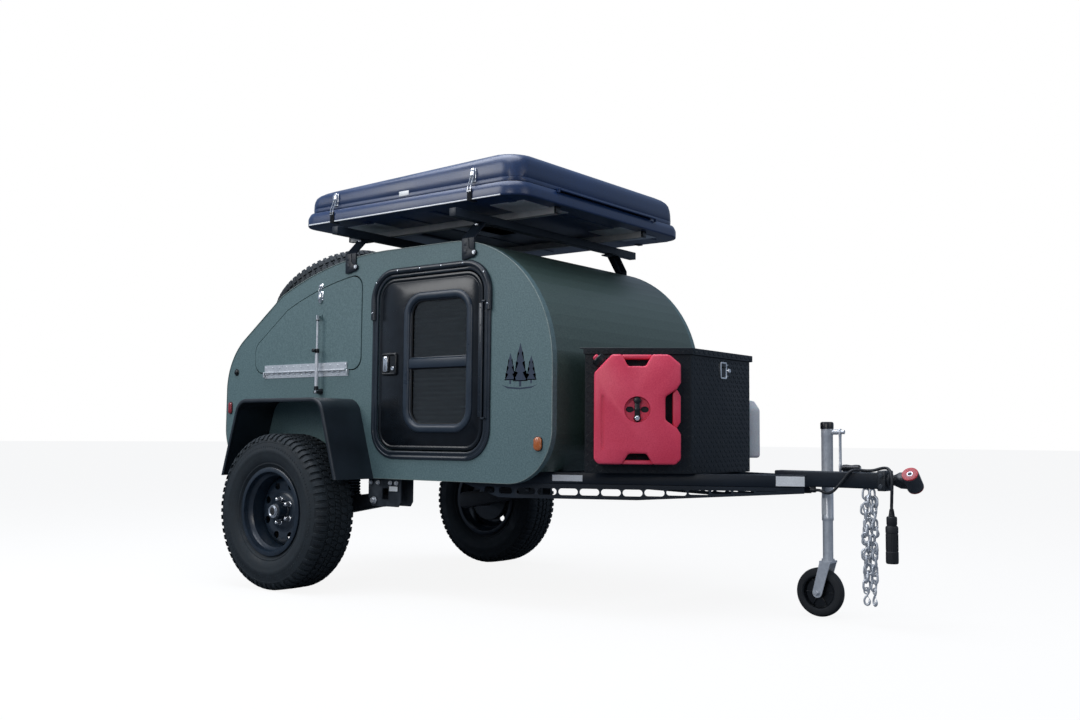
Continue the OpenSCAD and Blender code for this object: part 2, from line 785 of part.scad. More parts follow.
lid_gap = 8;
lid_pin = [box_x - 13, box_top - 6];
module tongue_box() color([0.05, 0.06, 0.08]) {
    difference() {
        translate([0, 0, box_z]) linear_extrude(box_h) box2d(0);
        translate([0, 0, box_z + sheet]) linear_extrude(box_h) box2d(-sheet);
    }
    hinge_fixed(lid_pin[0], lid_pin[1], 380) translate([-3, -5]) square([17, 10]);
}

lid_z = box_top - 12;
module tongue_box_lid() color([0.06, 0.07, 0.09]) {
    difference() {
        translate([0, 0, lid_z]) linear_extrude(lid_h) box2d(lid_gap + sheet);
        translate([0, 0, lid_z - 1]) linear_extrude(lid_h - sheet + 1) box2d(lid_gap);
        translate([box_x - 60, -box_w, lid_z - 1]) cube([60, 2 * box_w, lid_h - sheet + 1]);
    }
    hinge_moving(lid_pin[0], lid_pin[1], 378) translate([-3, 3])
        square([8, lid_z + lid_h - lid_pin[1] - 4]);
}

// A can is drawn flat, with X along the box's slanted side and Z up, then leant against the box
can_gap = 12;
module on_box_side(along) {
    translate([box_end, -box_nose_w / 2, 0]) rotate([0, 0, box_slope])
        translate([-along, -can_gap, 0]) children();
}

can_w = 350;
can_h = 445;
can_t = 96;
can_along = 222;
can_z = 619;
module fuel_can() color([0.75, 0.12, 0.16]) on_box_side(can_along) {
    difference() {
        across(-can_t, 0) translate([-can_w / 2, can_z]) difference() {
            offset(r = 12) offset(delta = -12) polygon([
                [18, 0], [can_w - 22, 0], [can_w, 22], [can_w, 122], [can_w - 16, 148],
                [can_w, 172], [can_w, 276], [can_w - 16, 304], [can_w, 330], [can_w, 405],
                [can_w - 48, can_h], [72, can_h], [0, can_h - 76], [0, 18]]);
            offset(r = 10) translate([can_w - 40, 182]) square([8, 84]);
        }
        translate([0, -can_t / 2, can_z + 222]) rotate([90, 0, 0])
            cylinder(h = can_t + 2, r = 11, center = true);
        translate([0, -can_t + 30, can_z + 222]) rotate([90, 0, 0]) cylinder(h = 40, r = 52);
    }
    bar_y(0, can_z + 222, 10.7, -can_t + 20, can_gap);
    bar_y(0, can_z + 222, 30, -can_t + 10, -can_t + 30);
}

water_w = 340;
water_h = 262;
water_t = 75;
module water_can() color([0.85, 0.85, 0.86]) on_side("left") on_box_side(can_along) {
    across(-water_t, 0) translate([-water_w / 2, 640]) offset(r = 14) offset(delta = -14)
        polygon([[0, 0], [water_w, 0], [water_w, water_h - 40], [water_w - 50, water_h],
            [60, water_h], [0, water_h - 60]]);
    bar_y(0, 770, 30, -1, can_gap);
}

// ---- roof rack and tent ----

module rack_bars() color([0.04, 0.05, 0.06]) {
    for (x = rack_x)
        translate([x - rack_bar / 2, -rack_len / 2, rack_z]) cube([rack_bar, rack_len, rack_bar]);
}

foot_t = 7;
foot_top = body_top + 5;
foot_low = body_top - 90;
arm_in = half_w - 90;
module rack_brackets() color([0.04, 0.05, 0.06]) both_sides() {
    for (x = rack_x)
        translate([x - 38, 0, 0]) rotate([90, 0, 90]) linear_extrude(70) polygon([
            [-half_w, foot_low], [-half_w - foot_t, foot_low], [-half_w - foot_t, foot_top + 3],
            [-arm_in - 20, rack_z], [-arm_in + 40, rack_z], [-arm_in + 40, rack_z - foot_t],
            [-arm_in - 16, rack_z - foot_t], [-half_w, foot_top]]);
}

module tent_plan(inset) offset(r = tent_r - inset) translate([tent_x + tent_r, tent_r - tent_w / 2])
    square([tent_len - 2 * tent_r, tent_w - 2 * tent_r]);

// The same plan with round corners at any distance in from the edge
module tent_plan2(inset) offset(r = 60) offset(delta = -inset - 60)
    translate([tent_x, -tent_w / 2]) square([tent_len, tent_w]);

rail_y_out = 375;
rail_w = 30;
module tent_rails() color([0.7, 0.71, 0.72]) both_sides() {
    translate([tent_x + 20, -rail_y_out, rack_z + rack_bar])
        cube([tent_len - 50, rail_w, rail_h]);
}

tent_wall = 18;
tent_pin = [tent_x + tent_len + 8, seam_z + 2];
module tent_tray() color([0.05, 0.06, 0.09]) {
    difference() {
        translate([0, 0, tent_z]) linear_extrude(tray_h) tent_plan(0);
        translate([0, 0, tent_z + tent_wall]) linear_extrude(tray_h) tent_plan(tent_wall);
    }
    hinge_fixed(tent_pin[0], tent_pin[1], 400) translate([-12, -14]) square([14, 17]);
}

module tent_mattress() color([0.6, 0.6, 0.55]) {
    translate([0, 0, tent_z + tent_wall + seat]) linear_extrude(65) tent_plan(tent_wall + 25);
}

lid_inset = 25;
lid_wall = 12;
lid_base = seam_z + panel_gap;
// The crown's levels: share of the crown's height, and distance in from the lid's edge
crown = [[0, 0], [0.45, 45], [0.8, 150], [1, 330]];
module tent_lid() color([0.05, 0.06, 0.09]) {
    difference() {
        union() {
            translate([0, 0, lid_base]) linear_extrude(lid_side_h) tent_plan(lid_inset);
            hull() for (level = crown)
                translate([0, 0, lid_base + lid_side_h - 1 + level[0] * crown_h])
                    linear_extrude(1) tent_plan2(lid_inset + level[1]);
        }
        translate([0, 0, lid_base - 1]) linear_extrude(lid_side_h - lid_wall + 1)
            tent_plan(lid_inset + lid_wall);
    }
    hinge_moving(tent_pin[0], tent_pin[1], 398) translate([-40, 3]) square([41, 5]);
}

// ---- jack ----

jack_low = 394;
jack_top = 782;
crank_z = 757;
crank_x = jack_x + 52;
crank_len = 147;
module jack_tube() color([0.6, 0.61, 0.64]) {
    difference() {
        union() {
            translate([jack_x, jack_y, jack_low]) cylinder(h = jack_top - jack_low, r = jack_r);
            translate([jack_x - 30, bar / 2, bar_z + 6]) cube([60, jack_y - bar / 2, bar - 12]);
            translate([jack_x, jack_y, jack_top]) cylinder(h = 17, r = jack_r + 3);
        }
        translate([jack_x, jack_y, jack_low - 1])
            cylinder(h = jack_top - jack_low - 20, r = jack_leg_r + run);
    }
    bar_x(jack_y, crank_z, 9, jack_x + jack_r - 4, crank_x + 12);
    translate([crank_x, jack_y - 11, crank_z - crank_len]) cube([12, 22, crank_len]);
    bar_x(jack_y, crank_z - crank_len, 15, crank_x + 8, crank_x + 90);
}

leg_low = 2 * jockey_r + 38;
fork_pin = 14;
fork_pin_r = 8;
module jack_leg() color([0.7, 0.71, 0.73]) translate([jack_x, jack_y, 0]) difference() {
    translate([0, 0, leg_low]) cylinder(h = jack_low + 170 - leg_low, r = jack_leg_r);
    translate([0, 0, leg_low - 1]) cylinder(h = fork_pin + 6, r = fork_pin_r + run);
}

module jockey_fork() color([0.6, 0.61, 0.63]) translate([jack_x, jack_y, 0]) {
    cylinder_z(leg_low - 16, leg_low - seat, 26);
    cylinder_z(leg_low - 2, leg_low + fork_pin, fork_pin_r);
    for (side = [-1, 1]) {
        translate([0, side * (jockey_w / 2 + 8) + 3, 0]) rotate([90, 0, 0]) linear_extrude(6)
            hull() {
                translate([0, leg_low - 12]) square([44, 8], center = true);
                translate([-jockey_trail, jockey_r]) circle(20);
            }
    }
    translate([-24, -jockey_w / 2 - 11, leg_low - 16]) cube([48, jockey_w + 22, 8]);
    bar_y(-jockey_trail, jockey_r, 8, -jockey_w / 2 - 14, jockey_w / 2 + 14);
}

module cylinder_z(z0, z1, r) translate([0, 0, z0]) cylinder(h = z1 - z0, r = r);

module jockey_wheel() color([0.08, 0.08, 0.08])
    translate([jack_x - jockey_trail, jack_y, jockey_r]) rotate([90, 0, 0]) rotate_extrude()
        polygon([[8 + run, -jockey_w / 2], [28, -jockey_w / 2], [30, -14], [64, -14],
            [68, -jockey_w / 2 + 4], [jockey_r - 14, -jockey_w / 2 + 2], [jockey_r - 4, -jockey_w / 2 + 10],
            [jockey_r, -12], [jockey_r, 12], [jockey_r - 4, jockey_w / 2 - 10],
            [jockey_r - 14, jockey_w / 2 - 2], [68, jockey_w / 2 - 4], [64, 14], [30, 14],
            [28, jockey_w / 2], [8 + run, jockey_w / 2]]);

// ---- chains and cable ----

chain_r = 13;
chain_low = 80;
chain_x = [2544, 2576];
chain_y = -16;
module safety_chains() color([0.7, 0.7, 0.72]) for (x = chain_x)
    translate([x, chain_y, chain_low]) cylinder(h = bar_z - chain_low, r = chain_r);

cable_r = 6;
cable_route = [
    [2340, -22, 522], [2354, -22, 522], [2370, -26, 518], [2388, -35, 513], [2406, -43, 514],
    [2424, -46, 523], [2440, -45, 539], [2456, -44, 557], [2472, -43, 576], [2487, -43, 595],
    [2503, -35, 606], [2526, -19, 606], [2550, -11, 605], [2574, -7, 607], [2596, -8, 613],
    [2616, -13, 617], [2634, -23, 616], [2648, -35, 608], [2657, -44, 594], [2661, -49, 576],
    [2662, -51, 554], [2661, -50, 530], [2659, -47, 507], [2657, -43, 486], [2656, -42, 474],
    [2656, -42, 462]];

function unit(v) = v / norm(v);
function cable_dir(i) = let (n = len(cable_route))
    unit(cable_route[min(i + 1, n - 1)] - cable_route[max(i - 1, 0)]);
cable_sides = 8;
function cable_ring(i) = let (
    d = cable_dir(i),
    side = unit(cross(d, [0.37, 1, 0.11])),
    up = cross(side, d))
    [for (k = [0:cable_sides - 1]) let (a = 360 * k / cable_sides)
        cable_route[i] + cable_r * (cos(a) * side + sin(a) * up)];

module tube_along() {
    n = len(cable_route);
    points = [for (i = [0:n - 1]) each cable_ring(i)];
    walls = [for (i = [0:n - 2]) for (k = [0:cable_sides - 1]) let (
        a = i * cable_sides + k,
        b = i * cable_sides + (k + 1) % cable_sides)
        each [[a, b, b + cable_sides], [a, b + cable_sides, a + cable_sides]]];
    ends = [[for (k = [cable_sides - 1:-1:0]) k],
        [for (k = [0:cable_sides - 1]) (n - 1) * cable_sides + k]];
    polyhedron(points, concat(walls, ends));
}

module trailer_cable() color([0.04, 0.04, 0.05]) tube_along();

clip_len = 22;
module cable_clip() color([0.04, 0.04, 0.05]) {
    start = cable_route[0];
    bar_x(start[1], start[2], 10, start[0] - clip_len, start[0]);
    translate([start[0] - clip_len + 2, start[1] - 8, start[2]])
        cube([clip_len - 4, 16, bar_z - start[2]]);
}

// The plug hangs from the cable's end: its body, its collar and its tapered boot
plug_len = [148, 34, 28];
plug_r = [24, 20, 12];
module trailer_plug() color([0.04, 0.04, 0.05]) translate(cable_route[len(cable_route) - 1]) {
    cylinder_z(-plug_len[2], 0, plug_r[2]);
    cylinder_z(-plug_len[2] - plug_len[1], -plug_len[2], plug_r[1]);
    cylinder_z(-plug_len[0] - plug_len[1] - plug_len[2], -plug_len[2] - plug_len[1], plug_r[0]);
}

// ---- nodes ----

placed() side_rails();
placed() crossmembers();
placed() drawbar_legs();
placed() truss_plates();
placed() drawbar();
placed() coupler_yoke();
placed() tow_eye();
placed() tow_bushing();
placed() floor();
placed() side_walls();
placed() {
    roof_skin();
    color([0.22, 0.27, 0.25]) hinge_fixed(hatch_pin_x, hatch_pin_z, 480)
        translate([-3, -9]) square([24, 12]);
}
placed() rear_panel();
placed() galley_cabinet();
placed() rear_hatch();
placed() spare_mount();
placed() spare_rim();
placed() spare_tyre();
placed() door_frames();
placed() right_door();
placed() left_door();
placed() window();  // right_window
placed() on_side("left") window();  // left_window
placed() shade();  // right_shade
placed() on_side("left") shade();  // left_shade
placed() color([0.36, 0.43, 0.44]) side_hatch();  // right_side_hatch
placed()  // left_side_hatch
    color([0.36, 0.43, 0.44]) on_side("left") side_hatch();
placed() stay_brackets();
placed() stay_sleeve();  // right_stay_sleeve
placed() on_side("left") stay_sleeve();  // left_stay_sleeve
placed() stay_rod();  // right_stay_rod
placed() on_side("left") stay_rod();  // left_stay_rod
placed() marker_lights();
placed() fenders();
placed() suspension_brackets();
placed() trailing_arms();
placed() coil_springs();
placed() color([0.08, 0.1, 0.13]) on_wheel() wheel_rim();  // right_rim
placed()  // left_rim
    color([0.08, 0.1, 0.13]) on_side("left") on_wheel() wheel_rim();
placed() color([0.05, 0.05, 0.06]) on_wheel() tyre();  // right_tyre
placed()  // left_tyre
    color([0.05, 0.05, 0.06]) on_side("left") on_wheel() tyre();
placed() tongue_box();
placed() tongue_box_lid();
placed() fuel_can();
placed() water_can();
placed() rack_bars();
placed() rack_brackets();
placed() tent_rails();
placed() tent_tray();
placed() tent_mattress();
placed() tent_lid();
placed() jack_tube();
placed() jack_leg();
placed() jockey_fork();
placed() jockey_wheel();
placed() safety_chains();
placed() cable_clip();
placed() trailer_cable();
placed() trailer_plug();
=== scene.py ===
# Off-road teardrop trailer with a roof tent: how each piece looks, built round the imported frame.
# Sizes are in millimetres from the wheel axis, and piece() brings them into the shared frame.
import json
from math import atan, atan2, cos, dist, pi, radians, sin, tan, tau

import bmesh
import bpy
from mathutils import Matrix, Vector


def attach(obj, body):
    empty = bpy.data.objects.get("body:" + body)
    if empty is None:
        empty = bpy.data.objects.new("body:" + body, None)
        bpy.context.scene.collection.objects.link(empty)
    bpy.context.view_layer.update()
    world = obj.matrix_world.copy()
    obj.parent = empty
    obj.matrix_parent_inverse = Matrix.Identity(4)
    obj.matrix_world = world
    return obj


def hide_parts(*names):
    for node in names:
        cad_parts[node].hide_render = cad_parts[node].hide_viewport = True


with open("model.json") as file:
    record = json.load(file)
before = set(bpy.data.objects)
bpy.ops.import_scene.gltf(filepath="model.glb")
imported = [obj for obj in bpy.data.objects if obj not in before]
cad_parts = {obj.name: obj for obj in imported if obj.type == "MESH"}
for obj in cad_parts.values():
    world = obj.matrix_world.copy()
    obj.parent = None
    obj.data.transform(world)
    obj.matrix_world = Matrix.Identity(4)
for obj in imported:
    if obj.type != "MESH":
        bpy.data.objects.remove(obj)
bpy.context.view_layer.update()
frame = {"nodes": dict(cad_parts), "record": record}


def add_object(name, data):
    """A new object in the scene."""
    made = bpy.data.objects.new(name, data)
    bpy.context.collection.objects.link(made)
    return made


def shift(x, y, z):
    """A move, as a 4x4 matrix."""
    return Matrix.Translation((x, y, z))


def spin(angle, axis):
    """A turn about an axis, as a 4x4 matrix."""
    return Matrix.Rotation(angle, 4, axis)


lying = spin(pi / 2, "X")
along_x, along_y, along_z = Vector((1, 0, 0)), Vector((0, 1, 0)), Vector((0, 0, 1))

# ---- camera ----
# A full-frame camera with a 37 mm lens, at door-handle height off the right front corner.
camera_data = bpy.data.cameras.new("camera")
camera_data.sensor_width = 36
camera_data.lens = 37.03
bpy.context.scene.view_settings.view_transform = "Standard"
camera = add_object("camera", camera_data)
camera_right = Vector((0.79513, 0.60631, 0.00853))
camera_up = Vector((0.03511, -0.06008, 0.99749))
camera_back = Vector((0.60535, -0.79290, -0.06906))
camera_turn = Matrix((camera_right, camera_up, camera_back)).transposed().to_4x4()
camera.matrix_world = shift(3.22694, -4.27937, 0.72666) @ camera_turn
bpy.context.scene.camera = camera

# ---- trailer cable and plug ----
# A seven-core cable in a black PVC sheath leaves a clip under the drawbar, crosses the coupler
# and hangs in front of it. It runs on into a round moulded plug with a ribbed boot.
axle_x = next(j for j in frame["record"]["behaviour"]["joints"]
              if j["name"] == "right_wheel_spin")["pos_m"][0]


def in_row(point):
    """A point in millimetres from the wheel axis, in the shared frame."""
    return Vector((point[0] / 1000 + axle_x, point[1] / 1000, point[2] / 1000))


def srgb(code):
    """A hex colour as linear values."""
    values = [int(code[i:i + 2], 16) / 255 for i in (1, 3, 5)]
    return [v / 12.92 if v <= 0.04045 else ((v + 0.055) / 1.055) ** 2.4 for v in values] + [1.0]


def add_node(tree, kind, inputs=None, **settings):
    """Adds a node, by its full type or a shader node's short one. An input takes a value, or a
    link from a socket or from another node's first output."""
    made = tree.nodes.new(kind if "Node" in kind else "ShaderNode" + kind)
    for key, value in settings.items():
        setattr(made, key, value)
    for key, value in (inputs or {}).items():
        if isinstance(value, bpy.types.Node):
            value = value.outputs[0]
        if isinstance(value, bpy.types.NodeSocket):
            tree.links.new(value, made.inputs[key])
        else:
            made.inputs[key].default_value = value
    return made


def start_material(name):
    """An empty material, and its Object coordinates."""
    material = bpy.data.materials.new(name)
    material.use_nodes = True
    material.node_tree.nodes.clear()
    place = add_node(material.node_tree, "TexCoord").outputs["Object"]
    return material, material.node_tree, place


def surface(tree, **inputs):
    """The shader at the end of a material."""
    named = {key.replace("_", " "): value for key, value in inputs.items()}
    shader = add_node(tree, "BsdfPrincipled", named)
    add_node(tree, "OutputMaterial", {"Surface": shader})
    return shader


def blend(tree, share, low, high):
    """A colour between two, as a socket."""
    return add_node(tree, "Mix", {0: share, 6: low, 7: high}, data_type="RGBA").outputs[2]


def ranged(tree, value, source=(0, 1), target=(0, 1)):
    """A value brought from one range into another."""
    return add_node(tree, "MapRange", {"Value": value, "From Min": source[0],
                                       "From Max": source[1], "To Min": target[0],
                                       "To Max": target[1]})


def reckoned(tree, operation, *values):
    """The result of a Math node."""
    return add_node(tree, "Math", dict(enumerate(values)), operation=operation)


def relief_of(tree, strength, distance, height):
    """A bump from a height; the distance is in metres."""
    return add_node(tree, "Bump", {"Strength": strength, "Distance": distance, "Height": height})


def coating(name, dark, light, grain, rough, bump, patch=160, wear=None, **shader):
    """A finish with soft mottling (patch, mm), a grain (mm) that shows as bump, and uneven gloss.
    wear is the colour that shows along worn edges."""
    material, tree, place = start_material(name)
    blotch = add_node(tree, "TexNoise",
                      {"Vector": place, "Scale": 1000 / patch, "Detail": 4.0, "Roughness": 0.6})
    grains = add_node(tree, "TexNoise",
                      {"Vector": place, "Scale": 1000 / grain, "Detail": 2.0, "Roughness": 0.5})
    both = reckoned(tree, "MULTIPLY_ADD", blotch, grains, 0.0)
    share = ranged(tree, both, (0.14, 0.36))
    colour = blend(tree, share, srgb(dark), srgb(light))
    if wear:
        edge = add_node(tree, "NewGeometry").outputs["Pointiness"]
        worn = ranged(tree, edge, (0.53, 0.62))
        worn = reckoned(tree, "MULTIPLY", worn, blotch)
        colour = blend(tree, worn, colour, srgb(wear))
    gloss = ranged(tree, blotch, (0.3, 0.7), rough)
    relief = relief_of(tree, bump, grain / 4000, grains)
    surface(tree, Base_Color=colour, Roughness=gloss, Normal=relief, **shader)
    return material


def put(bm, place):
    """Moves a whole mesh by a matrix."""
    bmesh.ops.transform(bm, matrix=place, verts=bm.verts)


def add_part(bm, part, place=None):
    """Adds one finished part to a piece's mesh, moved by place."""
    if place is not None:
        put(part, place)
    mesh = bpy.data.meshes.new("part")
    part.to_mesh(mesh)
    part.free()
    bm.from_mesh(mesh)
    bpy.data.meshes.remove(mesh)


def lofted(bm, loops, wrap=False, caps=True, bevel=0, place=None, steps=2):
    """A skin over closed loops of points. wrap joins the last loop to the first."""
    part = bmesh.new()
    rings = [[part.verts.new(p) for p in loop] for loop in loops]
    pairs = list(zip(rings, rings[1:])) + ([(rings[-1], rings[0])] if wrap else [])
    for a, b in pairs:
        for i in range(len(a)):
            j = (i + 1) % len(a)
            part.faces.new((a[i], a[j], b[j], b[i]))
    if caps and not wrap:
        part.faces.new(rings[0][::-1])
        part.faces.new(rings[-1])
    bmesh.ops.recalc_face_normals(part, faces=part.faces)
    if bevel:
        sharp = [e for e in part.edges if e.calc_face_angle(0) > 0.6]
        bmesh.ops.bevel(part, geom=sharp, offset=bevel, segments=steps, profile=0.5,
                        affect="EDGES", clamp_overlap=True)
    add_part(bm, part, place)


def round_loop(count, wide, deep, z):
    """An ellipse in points; six of them make a hexagon."""
    return [(wide * cos(tau * k / count), deep * sin(tau * k / count), z) for k in range(count)]


def prism(bm, outline, low, high, axis="y", **loft):
    """An outline made solid between two places along an axis."""
    order = {"x": lambda a, b, t: (t, a, b), "y": lambda a, b, t: (a, t, b),
             "z": lambda a, b, t: (a, b, t)}[axis]
    lofted(bm, [[order(a, b, t) for a, b in outline] for t in (low, high)], **loft)


def block(bm, low, high, **loft):
    """A block with rounded edges between two corners."""
    prism(bm, [(low[0], low[1]), (high[0], low[1]), (high[0], high[1]), (low[0], high[1])],
          low[2], high[2], "z", **loft)


def turned(bm, profile, sides=40, place=None, closed=False):
    """A profile of (radius, height) points turned about Z. closed joins its ends, as on a ring."""
    part = bmesh.new()
    rings = []
    for radius, height in profile:
        if radius < 1e-6:
            rings.append([part.verts.new((0, 0, height))] * sides)
        else:
            rings.append([part.verts.new((radius * cos(tau * k / sides),
                                          radius * sin(tau * k / sides), height))
                          for k in range(sides)])
    for a, b in list(zip(rings, rings[1:])) + ([(rings[-1], rings[0])] if closed else []):
        for i in range(sides):
            j = (i + 1) % sides
            corners = list(dict.fromkeys((a[i], a[j], b[j], b[i])))
            if len(corners) > 2:
                part.faces.new(corners)
    bmesh.ops.recalc_face_normals(part, faces=part.faces)
    add_part(bm, part, place)


def rod(bm, radius, low, high, sides=40, place=None):
    """A plain cylinder along Z."""
    turned(bm, [(0, low), (radius, low), (radius, high), (0, high)], sides, place)


def tube_between(bm, inner, outer, low, high, sides=40, place=None):
    """A plain tube along Z."""
    turned(bm, [(inner, low), (outer, low), (outer, high), (inner, high)], sides, place,
           closed=True)


def swept(bm, path, radius, sides=12, scale=None, closed=False):
    """A round bar along a path. scale gives the radius's factor at each point."""
    path = [Vector(p) for p in path]
    count = len(path)
    loops, side = [], None
    for i, point in enumerate(path):
        after = path[(i + 1) % count] if closed else path[min(i + 1, count - 1)]
        ahead = (after - path[i - 1 if closed else max(i - 1, 0)]).normalized()
        if side is None:
            side = ahead.cross(Vector((0.31, 0.17, 0.93))).normalized()
        side = (side - ahead * side.dot(ahead)).normalized()
        up = ahead.cross(side)
        r = radius * (scale[i] if scale else 1)
        loops.append([point + r * (cos(tau * k / sides) * side
                                   + sin(tau * k / sides) * up) for k in range(sides)])
    lofted(bm, loops, wrap=closed)


def smooth_path(points, steps):
    """A smooth curve through every point."""
    points = [Vector(p) for p in points]
    found = []
    for i in range(len(points) - 1):
        a, b, c, d = (points[max(i - 1, 0)], points[i], points[i + 1],
                      points[min(i + 2, len(points) - 1)])
        for k in range(steps):
            t = k / steps
            found.append(0.5 * (2 * b + (c - a) * t + (2 * a - 5 * b + 4 * c - d) * t * t
                                + (3 * b - a - 3 * c + d) * t ** 3))
    return found + [points[-1]]


def piece(name, bm, material, body, slot, whole=False, left=False, smooth=32):
    """Makes a mesh, brings it into the shared frame and hangs it on its body. A whole piece takes
    the place of the CAD node that its slot is named after."""
    for v in bm.verts:
        v.co = in_row((v.co.x, -v.co.y if left else v.co.y, v.co.z))
    if left:
        bmesh.ops.reverse_faces(bm, faces=bm.faces)
    mesh = bpy.data.meshes.new(name)
    bm.to_mesh(mesh)
    bm.free()
    mesh.materials.append(material)
    mesh.shade_smooth()
    mesh.set_sharp_from_angle(angle=radians(smooth))
    made = add_object(name, mesh)
    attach(made, body)
    if whole:
        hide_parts(slot)
    return made


def pair(material, body="chassis", slot=None, whole=False, smooth=32, name=None):
    """Makes a piece on the right and its mirror image on the left with the function that follows,
    which also names them. $ in a name stands for the side."""
    def make(build):
        made = []
        for side in ("right", "left"):
            bm = bmesh.new()
            build(bm)
            made.append(piece(f"{side}_{name or build.__name__}", bm, material,
                              body.replace("$", side), slot.replace("$", side),
                              whole and ("$" in slot or side == "right"), side == "left", smooth))
        return made
    return make


# PVC sheath: soft, slightly dusty black with a low sheen.
sheath_pvc = coating("sheath_pvc", "#0c0f13", "#1b2026", 2.5, (0.42, 0.6), 0.15, patch=40)
# Glass-filled nylon, moulded: matt black with a fine spark-eroded grain.
moulded_nylon = coating("moulded_nylon", "#0b0d10", "#1a1d21", 1.6, (0.5, 0.68), 0.3, patch=60)

cable_route = [
    (2340, -22, 522), (2354, -22, 522), (2370, -26, 518), (2388, -35, 513), (2406, -43, 514),
    (2424, -46, 523), (2440, -45, 539), (2456, -44, 557), (2472, -43, 576), (2487, -43, 595),
    (2503, -35, 606), (2526, -19, 606), (2550, -11, 605), (2574, -7, 607), (2596, -8, 613),
    (2616, -13, 617), (2634, -23, 616), (2648, -35, 608), (2657, -44, 594), (2661, -49, 576),
    (2662, -51, 554), (2661, -50, 530), (2659, -47, 507), (2657, -43, 486), (2656, -42, 474),
    (2656, -42, 462), (2656, -42, 440), (2656, -42, 415), (2656, -42, 390)]
cable_line = smooth_path(cable_route, 4)
cable_mesh = bmesh.new()
swept(cable_mesh, cable_line, 6, 16)
trailer_cable = piece("trailer_cable_sheath", cable_mesh, sheath_pvc, "chassis", "trailer_cable",
                      whole=True)

plug_mesh = bmesh.new()
boot = [(0, 462), (7, 462)]
for ring in range(5):
    z = 460 - ring * 5.4
    boot += [(7.6 + ring * 0.9, z), (9.2 + ring * 0.7, z - 1), (9.2 + ring * 0.7, z - 3.2),
             (7.8 + ring * 0.9, z - 4.4)]
turned(plug_mesh, boot + [(12, 434), (17, 433), (19.5, 430), (20, 426), (20, 404), (18.5, 401),
                          (18.5, 398), (22, 396), (24, 391), (24, 372), (22.6, 370), (22.6, 300),
                          (24, 298), (24, 262), (23, 256), (20.5, 253.4), (17, 253), (17, 264),
                          (0, 264)], 48, shift(2656, -42, 0))
for k in range(18):
    a = tau * k / 18
    turned(plug_mesh, [(0, 302), (1.1, 304), (1.1, 366), (0, 368)], 6,
           shift(2656 + 22.6 * cos(a), -42 + 22.6 * sin(a), 0))
trailer_plug = piece("trailer_plug_shell", plug_mesh, moulded_nylon, "chassis", "trailer_plug",
                     whole=True)

clip_mesh = bmesh.new()
turned(clip_mesh, [(6.2, -22), (9, -22), (10, -20), (10, -3), (8.4, 0), (6.2, 0)], 32,
       shift(2340, -22, 522) @ spin(pi / 2, "Y"), closed=True)
block(clip_mesh, (2320, -30, 530), (2338, -14, 534.9), bevel=1.2)
piece("cable_clip_loop", clip_mesh, moulded_nylon, "chassis", "cable_clip", whole=True)

# ---- floor and light of the studio ----
# A pale matt floor under a large soft box, with a white surround for the eye and for reflections.
floor_mesh = bpy.data.meshes.new("studio_floor")
floor_mesh.from_pydata([(-90, -90, 0), (90, -90, 0), (90, 90, 0), (-90, 90, 0)], [],
                       [(0, 1, 2, 3)])
studio_floor = add_object("studio_floor", floor_mesh)
# Backlit paper: white to the eye, with a faint shadow; what it throws back up is dim.
floor_paper, floor_tree, _ = start_material("floor_paper")
glow = add_node(floor_tree, "Emission", {"Color": (1, 1, 1, 1), "Strength": 1.0})
paper = add_node(floor_tree, "BsdfDiffuse", {"Color": srgb("#f4f5f6")})
dull = add_node(floor_tree, "BsdfDiffuse", {"Color": srgb("#6a7078")})
lit = add_node(floor_tree, "MixShader", {0: 0.1, 1: glow, 2: paper})
eye_ray = add_node(floor_tree, "LightPath").outputs["Is Camera Ray"]
chosen = add_node(floor_tree, "MixShader", {0: eye_ray, 1: dull, 2: lit})
add_node(floor_tree, "OutputMaterial", {"Surface": chosen})
floor_mesh.materials.append(floor_paper)

world = bpy.data.worlds.new("studio")
bpy.context.scene.world = world
world.use_nodes = True
sky = world.node_tree
sky.nodes.clear()
ray = add_node(sky, "LightPath")
seen = reckoned(sky, "MAXIMUM", ray.outputs["Is Camera Ray"], ray.outputs["Is Transmission Ray"])
dim = add_node(sky, "Background", {"Color": srgb("#c3d5ee"), "Strength": 0.5})
white = add_node(sky, "Background", {"Color": (1, 1, 1, 1), "Strength": 1.0})
mixed = add_node(sky, "MixShader", {0: seen, 1: dim, 2: white})
add_node(sky, "OutputWorld", {"Surface": mixed})


def soft_box(name, place, aim, width, height, watts, tint="#ffffff"):
    """A flat rectangular lamp that faces a point."""
    lamp = bpy.data.lights.new(name, "AREA")
    lamp.shape, lamp.size, lamp.size_y = "RECTANGLE", width, height
    lamp.energy, lamp.color = watts, srgb(tint)[:3]
    made = add_object(name, lamp)
    made.location = place
    made.rotation_euler = (Vector(aim) - Vector(place)).to_track_quat("-Z", "Y").to_euler()


soft_box("overhead", (-0.6, -0.8, 5.0), (-0.2, 0, 1), 4.6, 3.4, 230, "#f1f5ff")
soft_box("key", (-3.0, -4.4, 3.6), (-0.3, 0, 1.2), 2.8, 2.2, 104, "#ffffff")
soft_box("side", (2.0, -5.4, 2.3), (0.9, 0, 0.8), 1.8, 1.4, 40, "#fffaf4")
soft_box("front", (5.6, -0.6, 2.8), (0.6, 0, 0.8), 2.6, 2.2, 27, "#fff8f0")

# ---- frame ----
# Square steel tube, 2 inch, welded, blasted and powder coated; slotted plates stiffen the rails
# and the two legs that run to the drawbar.
# Powder coat over steel: satin blue-black with a slight orange peel, rubbed grey on its edges.
powder_coat = coating("powder_coat", "#070f17", "#101a25", 5, (0.34, 0.5), 0.22, patch=240,
                      wear="#303a45", Specular_IOR_Level=0.3)
